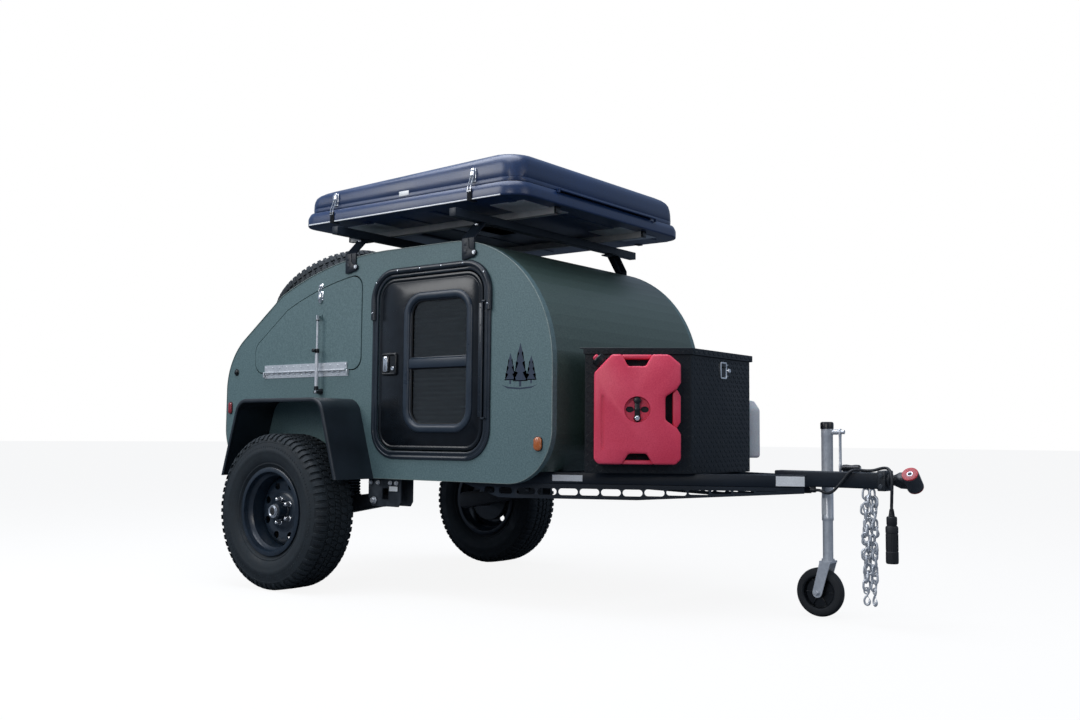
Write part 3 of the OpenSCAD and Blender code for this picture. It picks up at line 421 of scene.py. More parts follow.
# Galvanised and passivated zinc: bright grey with cloudy patches.
bright_zinc = coating("bright_zinc", "#c9ccd0", "#dcdfe2", 14, (0.3, 0.4), 0.03, patch=90,
                      Metallic=0.5)
# Blank vinyl label: smooth and white, very slightly yellowed.
white_vinyl = coating("white_vinyl", "#dcdedd", "#eceeee", 6, (0.3, 0.4), 0.05, patch=50)

tube, rail_y, rail_z = 50.8, 545.0, 529.2
rail_x, bend_x, leg_end = -560.0, 1203.0, 2303.7
leg_angle = atan((rail_y - 31.75) / (leg_end - bend_x))
leg_inner = tube / cos(leg_angle)
mitre = tube * tan(leg_angle / 2)
bar_rear = leg_end - leg_inner / tan(leg_angle)


@pair(powder_coat, slot="side_rails", whole=True)
def side_rail(bm):
    prism(bm, [(rail_x, -rail_y), (bend_x, -rail_y), (bend_x - mitre, -rail_y + tube),
               (rail_x, -rail_y + tube)], rail_z, rail_z + tube, "z", bevel=4, steps=3)


@pair(powder_coat, slot="drawbar_legs", whole=True)
def drawbar_leg(bm):
    prism(bm, [(bend_x + 0.4, -rail_y + 0.2), (leg_end, -31.9), (bar_rear, -31.9),
               (bend_x - mitre + 0.4, -rail_y + tube)],
          rail_z, rail_z + tube, "z", bevel=4, steps=3)


def crossmember(bm):
    for x in (rail_x, 90, 640, bend_x - mitre - tube):
        block(bm, (x, -rail_y + tube, rail_z), (x + tube, rail_y - tube, rail_z + tube), bevel=4)


cross_mesh = bmesh.new()
crossmember(cross_mesh)
piece("crossmember_tubes", cross_mesh, powder_coat, "chassis", "crossmembers", whole=True)
drawbar_mesh = bmesh.new()
block(drawbar_mesh, (bar_rear - 20, -31.75, 535), (2600, 31.75, 598.5), bevel=5, steps=3)
piece("drawbar_tube", drawbar_mesh, powder_coat, "chassis", "drawbar", whole=True)


def dress(material, *nodes):
    """Gives a CAD node's own mesh a finish."""
    for name in nodes:
        for place in frame["nodes"][name].material_slots:
            place.material = material


dress(powder_coat, "truss_plates")


leg_place = (shift(bend_x, -rail_y, 0) @ spin(leg_angle, "Z"))
label_mesh = bmesh.new()
for s, length, low, high in ((165, 130, 541, 567), (1094, 114, 535, 575)):
    block(label_mesh, (s, -0.5, low), (s + length, 0, high), bevel=0.2, steps=1, place=leg_place)
piece("frame_labels", label_mesh, white_vinyl, "chassis", "drawbar_legs")

weld_mesh = bmesh.new()
for side in (-1, 1):
    seam = [Vector((bend_x, side * rail_y, rail_z + tube)),
            Vector((bend_x - mitre, side * (rail_y - tube), rail_z + tube))]
    for k in range(14):
        turned(weld_mesh, [(0, -1.2), (3.4, -1), (3.9, 0), (2.6, 1.2), (0, 1.6)], 10,
               Matrix.Translation(seam[0].lerp(seam[1], (k + 0.5) / 14)))
for side in (-1, 1):
    for k in range(34):
        x = bar_rear + (leg_end - bar_rear) * (k + 0.5) / 34
        turned(weld_mesh, [(0, -1), (3, -0.8), (3.4, 0), (2.2, 1.4), (0, 1.8)], 10,
               shift(x, side * 31.9, rail_z + tube))
piece("weld_beads", weld_mesh, powder_coat, "chassis", "drawbar_legs", smooth=60)

def cut_away(part, cutter):
    """A shape less another, by a Boolean, as a new bmesh."""
    meshes = []
    for shape in (part, cutter):
        mesh = bpy.data.meshes.new("cut")
        shape.to_mesh(mesh)
        shape.free()
        meshes.append(add_object("cut", mesh))
    change = meshes[0].modifiers.new("cut", "BOOLEAN")
    change.operation, change.solver, change.object = "DIFFERENCE", "EXACT", meshes[1]
    result = bmesh.new()
    result.from_mesh(bpy.data.meshes.new_from_object(
        meshes[0].evaluated_get(bpy.context.evaluated_depsgraph_get())))
    for made in meshes:
        bpy.data.objects.remove(made)
    return result


# ---- bolts and repeated parts ----
# One Geometry Nodes tree sets a shape on each place: nuts, screws, tread blocks, chain links.
repeat_tree = bpy.data.node_groups.new("repeat_shape", "GeometryNodeTree")
for word, kind in (("Places", "Geometry"), ("Shape", "Object"), ("Size", "Float"),
                   ("Finish", "Material")):
    repeat_tree.interface.new_socket(word, in_out="INPUT", socket_type="NodeSocket" + kind)
repeat_tree.interface.new_socket("Result", in_out="OUTPUT", socket_type="NodeSocketGeometry")
asked = add_node(repeat_tree, "NodeGroupInput")
shape_info = add_node(repeat_tree, "GeometryNodeObjectInfo", {"Object": asked.outputs["Shape"]})
turn = add_node(repeat_tree, "GeometryNodeInputNamedAttribute", {"Name": "turn"},
                data_type="FLOAT_VECTOR")
on_places = add_node(repeat_tree, "GeometryNodeInstanceOnPoints", {
    "Points": asked.outputs["Places"], "Instance": shape_info.outputs["Geometry"],
    "Rotation": turn.outputs["Attribute"], "Scale": asked.outputs["Size"]})
real = add_node(repeat_tree, "GeometryNodeRealizeInstances", {"Geometry": on_places})
finished = add_node(repeat_tree, "GeometryNodeSetMaterial", {
    "Geometry": real, "Material": asked.outputs["Finish"]})
add_node(repeat_tree, "NodeGroupOutput", {"Result": finished})


def repeated(bm, shape, places, material, size=1.0):
    """Adds a shape to a piece's mesh at each place, a 4x4 matrix in millimetres."""
    shape_mesh = bpy.data.meshes.new("shape")
    shape.to_mesh(shape_mesh)
    shape.free()
    holder_mesh = bpy.data.meshes.new("places")
    holder_mesh.from_pydata([p.translation for p in places], [], [])
    turns = holder_mesh.attributes.new("turn", "FLOAT_VECTOR", "POINT")
    for item, place in zip(turns.data, places):
        item.vector = place.to_euler()
    shape_object = add_object("shape", shape_mesh)
    holder = add_object("places", holder_mesh)
    modifier = holder.modifiers.new("repeat", "NODES")
    modifier.node_group = repeat_tree
    for item in repeat_tree.interface.items_tree:
        if item.in_out == "INPUT" and item.name != "Places":
            modifier[item.identifier] = {"Shape": shape_object, "Size": size,
                                         "Finish": material}[item.name]
    result = bpy.data.meshes.new_from_object(
        holder.evaluated_get(bpy.context.evaluated_depsgraph_get()))
    bm.from_mesh(result)
    for made in (shape_object, holder):
        bpy.data.objects.remove(made)
    for mesh in (shape_mesh, holder_mesh, result):
        bpy.data.meshes.remove(mesh)


def facing(point, outward, roll=0.0):
    """The place of a part whose Z axis points outward."""
    turn_out = Vector(outward).to_track_quat("Z", "Y").to_matrix().to_4x4()
    return Matrix.Translation(point) @ turn_out @ spin(roll, "Z")


def outward(x, y, z, roll=0.0):
    """The place of a part whose Z axis points out of the right wall."""
    return facing((x, y, z), (0, -1, 0), roll)


def hex_bolt(across, height, washer=1.4):
    """A hexagon head on its washer, chamfered on top."""
    part = bmesh.new()
    rod(part, across * 0.72, 0, washer, 24)
    lofted(part, [round_loop(6, r, r, z) for r, z in
                  ((across * 0.577, washer), (across * 0.577, washer + height * 0.85),
                   (across * 0.5, washer + height))])
    return part


def dome_screw(radius):
    """A pan head with a shallow round dimple on top."""
    part = bmesh.new()
    turned(part, [(0, 0), (radius, 0), (radius, radius * 0.2), (radius * 0.72, radius * 0.5),
                  (radius * 0.3, radius * 0.6), (radius * 0.12, radius * 0.38),
                  (0, radius * 0.36)], 16)
    return part


# ---- coupler, safety chains ----
# A cast yoke carries a rolling eye with a red polyurethane bush round a steel sleeve. Two zinc
# plated chains with forged hooks hang beside it.
# Cast steel, painted satin black: slightly lumpy, worn grey at its edges.
cast_black = coating("cast_black", "#0b0e12", "#181d23", 7, (0.34, 0.52), 0.4, patch=70,
                     wear="#555c64")
# Cast polyurethane: deep red, waxy and a little translucent.
red_urethane = coating("red_urethane", "#8c1420", "#b3242f", 8, (0.32, 0.45), 0.08, patch=40,
                       Subsurface_Weight=0.08)
bar_mid, eye_x = 570.0, 2725.0
eye_roll = (shift(0, 0, bar_mid) @ spin(radians(-40), "X"))
bush_place = eye_roll @ shift(eye_x, 0, 0) @ lying
yoke_mesh = bmesh.new()
block(yoke_mesh, (2600.3, -45, bar_mid - 42), (2634, 45, bar_mid + 37), bevel=5, steps=3)
turned(yoke_mesh, [(20.5, 0), (30, 0), (33, -2), (33, 5), (30, 8.5), (20.5, 8.5)], 40,
       facing((2634, 0, bar_mid), (1, 0, 0)), closed=True)
repeated(yoke_mesh, hex_bolt(15, 8), [facing((2617, y, z), (0, y, 0)) for y in (-45, 45)
                                      for z in (bar_mid - 24, bar_mid + 18)], cast_black)
piece("coupler_yoke_casting", yoke_mesh, cast_black, "chassis", "coupler_yoke", whole=True)
head_mesh = bmesh.new()
lofted(head_mesh, [[(x, w * cos(a) * (1 - 0.18 * cos(2 * a) ** 2 * s),
                     h * sin(a) * (1 - 0.18 * cos(2 * a) ** 2 * s))
                    for a in (tau * k / 32 for k in range(32))]
                   for x, w, h, s in ((2605, 19.9, 19.9, 0), (2652, 19.9, 19.9, 0),
                                      (2664, 27, 24, 0.4), (2676, 37, 27, 1), (2700, 38, 28, 1),
                                      (2705, 36, 26, 1))],
       place=eye_roll)
turned(head_mesh, [(26, -38), (30.5, -38), (32, -36.5), (32, 36.5), (30.5, 38), (26, 38)], 56,
       bush_place,
       closed=True)
piece("tow_eye_forging", head_mesh, cast_black, "tow_eye", "tow_eye", whole=True)
bush_mesh = bmesh.new()
turned(bush_mesh, [(11.6, -42.8), (27, -44), (31, -42.6), (31, -38.3), (25.7, -38.3), (25.7, 38.3),
                   (31, 38.3), (31, 42.6), (27, 44), (11.6, 42.8)], 56, bush_place, closed=True)
piece("tow_eye_bush", bush_mesh, red_urethane, "tow_eye", "tow_bushing", whole=True)
sleeve_mesh = bmesh.new()
turned(sleeve_mesh, [(8.1, -43.4), (11.4, -43.8), (11.4, 43.8), (8.1, 43.4)], 32, bush_place,
       closed=True)
piece("tow_eye_sleeve", sleeve_mesh, bright_zinc, "tow_eye", "tow_bushing")


def oval_path(length, width, count=18):
    """A long oval in X and Z."""
    r = width / 2
    half = length / 2 - r
    return [(r * cos(a), 0, r * sin(a) + (half if sin(a) >= 0 else -half))
            for a in (tau * k / count + 0.01 for k in range(count))]


chain_mesh = bmesh.new()
link = bmesh.new()
swept(link, oval_path(41, 26), 4.3, 8, closed=True)
repeated(chain_mesh, link, [
    shift(x + 5 * sin(k * 2.1 + t), y + 4 * cos(k * 1.7 + t),
          514 - drop - 29.5 * k)
    @ spin(radians(90 * (k % 2) + 38 + t), "Z")
    @ spin(lean * sin(k * 1.3 + t), "Y")
    for x, y, t, drop, lean in ((2544, -16, 0, 0, 0.1), (2576, -16, 30, 0, 0.1),
                                (2556, -30, 64, 22, 0.45), (2568, -4, 12, 30, 0.45))
    for k in range(13 if lean < 0.2 else 11)], bright_zinc)
for x, t in ((2544, 20), (2576, -35)):
    hook_turn = shift(x, -16, 0) @ spin(radians(t), "Z")
    swept(chain_mesh, [hook_turn @ Vector(p) for p in smooth_path(
        [(0, 0, 146), (5, 0, 140), (5, 0, 128), (-2, 0, 118), (-9, 0, 104), (-7, 0, 90),
         (1, 0, 85), (9, 0, 90), (11, 0, 102), (9, 0, 110)], 4)], 4.2, 10,
          [1.0] * 24 + [1.25] * 8 + [0.9, 0.8, 0.6, 0.4, 0.3])
    swept(chain_mesh, [hook_turn @ Vector(p) for p in smooth_path(
        [(8, 0, 113), (4, 0, 117), (-3, 0, 121)], 3)], 1.6, 6)
    swept(chain_mesh, [hook_turn @ Vector((p[0], p[1], p[2] + 139)) for p in oval_path(24, 20)],
          3, 8, closed=True)
piece("safety_chain_links", chain_mesh, bright_zinc, "chassis", "safety_chains", whole=True,
      smooth=50)

# ---- jack ----
# A side-wind jockey jack: zinc plated tubes, a black cap and grip, clamped to the drawbar.
# Injection-moulded ABS: black, half gloss.
black_abs = coating("black_abs", "#0a0c0f", "#14181c", 3, (0.24, 0.38), 0.1, patch=60)
# Solid rubber: dull, dusty charcoal.
solid_rubber = coating("solid_rubber", "#131518", "#25282b", 3, (0.62, 0.82), 0.5, patch=30)
jack_x, jack_y = 2336.0, 105.0
at_jack = shift(jack_x, jack_y, 0)
jack_mesh = bmesh.new()
turned(jack_mesh, [(21.3, 396), (23.2, 394), (24, 396), (24, 408), (23.6, 409), (23.6, 738),
                   (24, 739), (24, 780), (21.3, 780)], 48, at_jack, closed=True)
turned(jack_mesh, [(0, 0), (11, 0), (11, 22), (8.5, 24), (8.5, 52), (0, 52)], 32,
       facing((jack_x + 23, jack_y, 757), (1, 0, 0)))
lofted(jack_mesh, [[(x, jack_y + y, z) for x, y in ((2389, -w), (2396, -w), (2396, w), (2389, w))]
                   for z, w in ((770, 6), (766, 10), (748, 11), (735, 8), (632, 8), (619, 11),
                                (600, 10), (596, 6))], bevel=1.5)
turned(jack_mesh, [(0, -4), (6, -4), (6, 78), (5, 80), (0, 80)], 20,
       facing((2398, jack_y, 610), (1, 0, 0)))
piece("jack_barrel", jack_mesh, bright_zinc, "chassis", "jack_tube", whole=True)
cap_mesh = bmesh.new()
turned(cap_mesh, [(24.2, 770), (27, 770), (27, 792), (25, 797), (20, 799), (0, 799), (0, 782),
                  (24.2, 782)], 48, at_jack)
turned(cap_mesh, [(6.2, 2), (11, 2), (14, 6), (15, 20), (12.6, 40), (15, 60), (14.5, 74), (10, 79),
                  (6.2, 79)], 32, facing((2398, jack_y, 610), (1, 0, 0)), closed=True)
piece("jack_cap_and_grip", cap_mesh, black_abs, "chassis", "jack_tube")
clamp_mesh = bmesh.new()
turned(clamp_mesh, [(24.1, 545), (29.5, 545), (30, 547), (30, 586), (29.5, 588), (24.1, 588)], 48,
       at_jack, closed=True)
block(clamp_mesh, (2308, 31.9, 541), (2364, 38, 592), bevel=2)
for z in (546, 578):
    block(clamp_mesh, (2312, 36, z), (2360, 84, z + 8), bevel=1.5)
repeated(clamp_mesh, hex_bolt(13, 7), [facing((x, 38, z), (0, 1, 0)) for x in (2314, 2358)
                                       for z in (556, 577)], cast_black)
piece("jack_clamp", clamp_mesh, cast_black, "chassis", "jack_tube")
jack_label = bmesh.new()
lofted(jack_label, [[(jack_x + r * cos(a), jack_y + r * sin(a), z)
                     for r, turn_back in ((24.1, 1), (24.5, -1))
                     for a in [radians(-118 + turn_back * (k * 9 - 36)) for k in range(9)]]
                    for z in (418, 486)])
piece("jack_label", jack_label, white_vinyl, "chassis", "jack_tube")
dress(bright_zinc, "jack_leg", "jockey_fork")

castor_place = shift(jack_x - 34, jack_y, 100) @ lying
castor_mesh = bmesh.new()
turned(castor_mesh, [(71, -23), (84, -24.5), (93, -21), (98, -14), (100, -6), (100, 6), (98, 14),
                     (93, 21), (84, 24.5), (71, 23)], 64, castor_place, closed=True)
piece("castor_tread", castor_mesh, solid_rubber, "jockey_wheel", "jockey_wheel", whole=True)
hub_mesh = bmesh.new()
turned(hub_mesh, [(8.1, -25), (14, -25), (17, -22), (22, -12), (24, -6), (58, -6), (62, -16),
                  (66, -21), (71.2, -22), (71.2, 22), (66, 21), (62, 16), (58, 6), (24, 6),
                  (22, 12), (17, 22), (14, 25), (8.1, 25)], 64, castor_place, closed=True)
for k in range(6):
    for face in (-1, 1):
        block(hub_mesh, (21, -2.2, 5 * face - 8), (62, 2.2, 5 * face + 8), bevel=1,
              place=castor_place @ spin(tau * k / 6, "Z"))
piece("castor_hub", hub_mesh, black_abs, "jockey_wheel", "jockey_wheel")
axle_mesh = bmesh.new()
repeated(axle_mesh, hex_bolt(14, 8), [facing((jack_x - 34, jack_y + y, 100), (0, y, 0))
                                      for y in (-39, 39)], bright_zinc)
piece("castor_axle_nuts", axle_mesh, bright_zinc, "jockey_fork", "jockey_fork")

# ---- wheels ----
# 15 inch black steel rims with a stepped barrel, eight round windows, chrome nuts and a greasable
# hub; all-terrain tyres with sawtooth shoulder blocks.
# Tyre rubber: charcoal, dull, dusted lighter in patches, with a fine moulded skin.
tyre_rubber = coating("tyre_rubber", "#0d151a", "#1b252b", 4, (0.6, 0.82), 0.35, patch=45)
# Steel rim in stoved gloss black: blue-black with a clear coat.
gloss_rim = coating("gloss_rim", "#101b26", "#1b2936", 9, (0.3, 0.42), 0.05, patch=120,
                    Coat_Weight=0.25, Coat_Roughness=0.2)
# Chrome plate: mirror bright, faintly hazed.
chrome = coating("chrome", "#d6d8db", "#e6e8ea", 12, (0.08, 0.18), 0.03, patch=30, Metallic=0.85)
tyre_r, track, rim_r = 366.5, 1560.0, 190.5
on_wheel = (shift(0, -track / 2, tyre_r) @ lying)


def tyre_carcass(place):
    """Sidewalls with their moulded rings, and the floor of the tread's grooves."""
    def build(bm):
        half = [(rim_r + 0.4, 88), (200, 88.8), (206.8, 89), (213, 91), (219, 97), (222, 101.5),
                (225.5, 103), (229, 102.2), (231, 104.2), (243, 111), (262, 115.8), (276, 117),
                (277, 117.4), (291, 117.4), (292, 116.9), (310, 114.6), (324, 110.8), (325, 111.8),
                (331, 110.4), (332, 108.8), (342, 104), (350, 97), (356, 88), (358.5, 60),
                (359, 20)]
        profile = half + [(r, -z) for r, z in reversed(half)]
        turned(bm, profile, 144, place, closed=True)
        rib = bmesh.new()
        block(rib, (-1.1, -6, -1), (1.1, 6, 1.0), bevel=0.5, steps=1)
        spots = []
        for k in range(120):
            a = tau * k / 120
            for face in (-1, 1):
                spots.append(place @ spin(a, "Z")
                             @ shift(301, 0, face * 115.9)
                             @ spin(pi / 2, "Z")
                             @ spin(-0.12 * face, "X"))
        repeated(bm, rib, spots, tyre_rubber)
    return build


def tread(place):
    """Centre, middle and shoulder blocks, 66 to a row."""
    def build(bm):
        pitches = 66
        step = tau / pitches

        def spot(index, lift, lateral, flip=1):
            return (place @ spin(step * index, "Z")
                    @ shift(lift, 0, lateral)
                    @ spin(pi / 2, "Y")
                    @ spin(pi / 2 * flip, "Z"))

        centre = bmesh.new()
        for y0, y1, skew in ((-14, -1.6, 4), (0.6, 14, 4)):
            prism(centre, [(y0 - skew, -13), (y1 - skew, -9), (y1 + skew, 10), (y0 + skew, 13.5)],
                  -12, -0.6, "z", bevel=0.9, steps=1)
        repeated(bm, centre, [spot(k, tyre_r, 0) for k in range(pitches)], tyre_rubber)
        middle = bmesh.new()
        prism(middle, [(-14, -12), (-5, -17), (8, -15), (14, -4), (12, 12), (2, 16), (-11, 10)],
              -13, -0.9, "z", bevel=0.9, steps=1)
        prism(middle, [(-16.5, 13), (-9, 16), (-8, 20), (-17, 19)], -13, -2.5, "z", bevel=0.7,
              steps=1)
        repeated(bm, middle, [spot(k + 0.5, tyre_r, face * 36, face) for k in range(pitches)
                              for face in (-1, 1)], tyre_rubber)
        for size, wide, low in ((0, 11.4, 342), (1, 9.6, 333)):
            outer = bmesh.new()
            side = [(64, -14), (64, -1.4), (80, -1.8), (90, -4.2), (101, -10.6), (110, -20.5),
                    (113.5, low - tyre_r), (108, low - tyre_r + 1), (96, -19)]
            loops = [[(t * (1 - 0.12 * (y - 64) / 50), y, z) for y, z in side]
                     for t in (-wide, wide)]
            lofted(outer, loops, bevel=1.0, steps=1)
            repeated(bm, outer, [
                place @ spin(step * (k + 0.25 * face), "Z")
                @ shift(tyre_r, 0, 0) @ spin(pi / 2, "Y")
                @ spin(pi / 2 * face, "Z")
                for k in range(size, pitches, 2) for face in (-1, 1)], tyre_rubber)
    return build


def rim_barrel(place):
    """The stepped barrel with both bead flanges."""
    def build(bm):
        face = [(206.2, 89.5), (206.4, 98), (203, 100), (186, 99.6), (184.6, 94), (183.6, 78),
                (181, 72), (168, 60), (166.5, 52), (166.5, 24), (165, 18)]
        back = [(165, -60), (183.6, -78), (186, -99.6), (203, -100), (206.4, -98), (206.2, -89.5)]
        outside = [(190.4, -88.9), (190.4, 88.9)]
        turned(bm, face + back + outside, 120, place, closed=True)
    return build


def rim_disc(place):
    """The dished disc with its eight round windows, cut with a Boolean."""
    part = bmesh.new()
    turned(part, [(42, 12), (46, 15.5), (74, 16), (80, 12.5), (90, 9), (104, 10), (118, 14),
                  (134, 15), (148, 11), (158, 2), (166.3, -8), (166.3, -14), (156, -8), (146, 4),
                  (132, 9), (118, 8), (104, 4), (90, 3), (78, 6.5), (70, 9.5), (42, 9.5)], 96,
           closed=True)
    cutter = bmesh.new()
    for k in range(8):
        turned(cutter, [(0, -20), (17, -20), (17, 11), (19.5, 17), (19.5, 30), (0, 30)], 32,
               spin(radians(22.5 + 45 * k), "Z") @ shift(124, 0, 0))
    cut = cut_away(part, cutter)

    def build(bm):
        add_part(bm, cut.copy(), place)
    return build


def hub_barrel(place):
    def build(bm):
        turned(bm, [(41.6, 9), (41.6, 18), (39, 20), (38, 24), (38, 62), (36, 66), (31.5, 67.5),
                    (31.5, 60), (31.5, 9)], 48, place, closed=True)
    return build


def grease_cap(place):
    def build(bm):
        turned(bm, [(31.3, 60), (31.3, 74), (30, 77), (27, 78), (27, 82), (25.4, 84), (20, 83.8),
                    (17.6, 80.5), (17.6, 60)], 48, place, closed=True)
    return build


def cap_plug(place):
    def build(bm):
        turned(bm, [(0, 70), (17.4, 70), (17.4, 80), (15, 81.6), (5, 82), (4.4, 79.5), (3, 79.5),
                    (2.6, 82.6), (0, 83)], 32, place)
    return build


def wheel_nuts(place, high=16):
    def build(bm):
        nut = bmesh.new()
        turned(nut, [(0, 0), (13.4, 0), (13.4, 2.4), (11.6, 4), (0, 4)], 24)
        lofted(nut, [round_loop(6, r, r, z) for r, z in ((11.6, 3), (11.6, 21), (9.4, 25))],
               bevel=0.5, steps=1)
        turned(nut, [(9.2, 24), (8, 28), (4.5, 31), (0, 31.8)], 20)
        repeated(bm, nut, [place @ spin(radians(180 + 72 * k), "Z")
                           @ shift(57.15, 0, high) for k in range(5)], chrome)
    return build


for word, build, finish, slot, whole in (
        ("tyre_carcass", tyre_carcass, tyre_rubber, "$_tyre", True),
        ("tyre_tread", tread, tyre_rubber, "$_tyre", False),
        ("rim_barrel", rim_barrel, gloss_rim, "$_rim", True),
        ("rim_disc", rim_disc, gloss_rim, "$_rim", False),
        ("hub_barrel", hub_barrel, gloss_rim, "$_rim", False),
        ("grease_cap", grease_cap, chrome, "$_rim", False),
        ("cap_plug", cap_plug, solid_rubber, "$_rim", False),
        ("wheel_nuts", wheel_nuts, chrome, "$_rim", False)):
    pair(finish, "$_wheel", slot, whole, name=word)(build(on_wheel))

# ---- suspension ----
# Welded trailing arms turn on a bolt in plate brackets; each has a drum brake and a coil spring.
dress(cast_black, "suspension_brackets")
pivot, spring_x, spring_y = (395.0, 425.0), 170.0, 519.6


@pair(cast_black, slot="trailing_arms", whole=True)
def trailing_arm(bm):
    outline = [(pivot[0] + 34 * cos(a), pivot[1] + 34 * sin(a))
               for a in [radians(-98 + 17 * k) for k in range(12)]]
    outline += [(46 * cos(a), tyre_r + 46 * sin(a))
                for a in [radians(98 + 17 * k) for k in range(11)]]
    prism(bm, outline, -567, -507, bevel=5, steps=2)
    turned(bm, [(0, -2), (17.5, 0), (17.5, 3), (0, 3)], 24, outward(0, -818, tyre_r))
    rod(bm, 40, -20, 180, 32, outward(0, -540, tyre_r))
    turned(bm, [(0, 0), (52, 0), (52, 5), (46, 8), (0, 8)], 32,
           facing((spring_x, -spring_y, 419), (0, 0, 1)))
    turned(bm, [(0, 0), (50, 0), (50, 14), (47, 24.6), (30, 24.6), (0, 24.6)], 32,
           facing((spring_x, -spring_y, 419), (0, 0, 1)))


@pair(cast_black, slot="trailing_arms")
def brake_drum(bm):
    turned(bm, [(40, 0), (121, 0), (125, 3), (125, 12), (122.5, 15), (122.5, 44), (118, 50),
                (60, 52), (45, 60), (40, 60)], 72, outward(0, -718, tyre_r),
           closed=True)
    for k in range(24):
        block(bm, (122, -1.6, 18), (124.4, 1.6, 42), bevel=0.4, steps=1,
              place=outward(0, -718, tyre_r, tau * k / 24))


@pair(gloss_rim, slot="coil_springs", whole=True)
def coil_spring(bm):
    turns, steps = 5.2, 190
    path = []
    for k in range(steps + 1):
        t = k / steps
        path.append((spring_x + 38 * cos(tau * turns * t),
                     -spring_y + 38 * sin(tau * turns * t), 449.5 + 74 * t))
    swept(bm, path, 6, 10)
    rod(bm, 26, 0, 80, 24, facing((spring_x, -spring_y, 446), (0, 0, 1)))


@pair(bright_zinc, slot="suspension_brackets")
def suspension_bolts(bm):
    repeated(bm, hex_bolt(24, 13, 3), [outward(pivot[0], -586, pivot[1], 0.3)], bright_zinc)
    repeated(bm, hex_bolt(15, 8, 2), [outward(x, -585.3, 508, 0.2 * x)
                                      for x in (372, 420, 500, 540)], bright_zinc)


@pair(white_vinyl, slot="suspension_brackets")
def bracket_label(bm):
    block(bm, (492, -585.5, 470), (546, -585.05, 492), bevel=0.1, steps=1)


@pair(sheath_pvc, slot="trailing_arms")
def brake_hose(bm):
    swept(bm, smooth_path([(60, -716, 440), (64, -690, 452), (80, -640, 470), (110, -600, 500),
                           (150, -578, 520)], 6), 5, 10)


# ---- fenders ----
# Aluminium sheet, folded, with a rolled outer edge and black textured paint, bolted to the wall.
# Textured black paint: satin, with a dense fine crinkle.
crinkle_black = coating("crinkle_black", "#0c141b", "#18232c", 3.2, (0.36, 0.5), 0.5, patch=200)


def rounded_path(corners, steps=8):
    """A path through corners (x, z, radius), each rounded."""
    found = []
    for i, (x, z, r) in enumerate(corners):
        here = Vector((x, z))
        if r <= 0 or i in (0, len(corners) - 1):
            found.append(here)
            continue
        back = (Vector(corners[i - 1][:2]) - here).normalized()
        ahead = (Vector(corners[i + 1][:2]) - here).normalized()
        half = back.angle(ahead) / 2
        middle = here + (back + ahead).normalized() * (r / sin(half))
        start = here + back * (r / tan(half)) - middle
        end = here + ahead * (r / tan(half)) - middle
        sweep = start.angle_signed(end)
        for k in range(steps + 1):
            turned_by = Matrix.Rotation(-sweep * k / steps, 2)
            found.append(middle + turned_by @ start)
    return found


def moved_in(path, distance):
    """An open path moved to its right-hand side."""
    found = []
    for i, p in enumerate(path):
        ahead = (path[min(i + 1, len(path) - 1)] - path[max(i - 1, 0)]).normalized()
        found.append(p + Vector((ahead.y, -ahead.x)) * distance)
    return found


fender_low, fender_foot, fender_top = 525.2, 413.5, 900
fender_line = rounded_path([(-fender_foot, fender_low, 0), (-300, fender_top, 80),
                            (300, fender_top, 80), (fender_foot, fender_low, 0)], 10)


@pair(crinkle_black, slot="fenders", whole=True, smooth=40)
def fender_sheet(bm):
    def loop(y, over, under):
        both = moved_in(fender_line, over) + moved_in(fender_line, under)[::-1]
        return [(p.x, y, max(p.y, fender_low)) for p in both]
    lofted(bm, [loop(-610.4, 0, 5), loop(-835, 0, 5), loop(-842, 0, 5), loop(-842, 0, 18),
                loop(-844.5, 0.8, 18.6), loop(-847, 3, 18), loop(-848, 6, 15)])
    for side in (-1, 1):
        for k in range(4):
            z = 560 + 90 * k
            x = side * (fender_foot - (z - fender_low) * 113.5 / 374.8 - 5.2)
            turned(bm, [(0, 0), (7, 0), (6, 3.4), (0, 4.6)], 12,
                   facing((x, -628, z), (-side, 0, -0.3 * side)))
    repeated(bm, hex_bolt(11, 5), [facing((x, -626, 894.8), (0, 0, -1))
                                   for x in (-230, -80, 80, 230)], crinkle_black)


# ---- body shell ----
# Sandwich panels: flat sides in light grey-green textured paint, and one skin in dark olive that
# wraps the nose, roof and tail. A thin edge moulding covers the joint.
# Textured wall paint: grey-green, satin, a leathery crinkle that breaks the light.
def wall_paint_finish(name, dark, light, rough, bump):
    material, tree, place = start_material(name)
    cells = add_node(tree, "TexVoronoi", {"Vector": place, "Scale": 1000 / 5.5},
                     feature="SMOOTH_F1")
    fine = add_node(tree, "TexNoise", {"Vector": place, "Scale": 1000 / 7, "Detail": 5.0,
                                       "Roughness": 0.62})
    cloud = add_node(tree, "TexNoise", {"Vector": place, "Scale": 2.2, "Detail": 3.0})
    pores = reckoned(tree, "MULTIPLY", cells, fine)
    spread = ranged(tree, fine, (0.34, 0.66))
    tone = blend(tree, spread, srgb(dark), srgb(light))
    drift = ranged(tree, cloud, target=(0.94, 1.06))
    tone = add_node(tree, "VectorMath", {0: tone, "Scale": drift}, operation="SCALE")
    gloss = ranged(tree, fine, target=rough)
    relief = relief_of(tree, bump, 0.0012, pores)
    surface(tree, Base_Color=tone, Roughness=gloss, Normal=relief)
    return material


wall_paint = wall_paint_finish("wall_paint", "#4c6466", "#61797b", (0.46, 0.64), 0.45)
# The same paint in dark olive, a little glossier.
olive_paint = wall_paint_finish("olive_paint", "#394a44", "#4a5b54", (0.3, 0.44), 0.4)
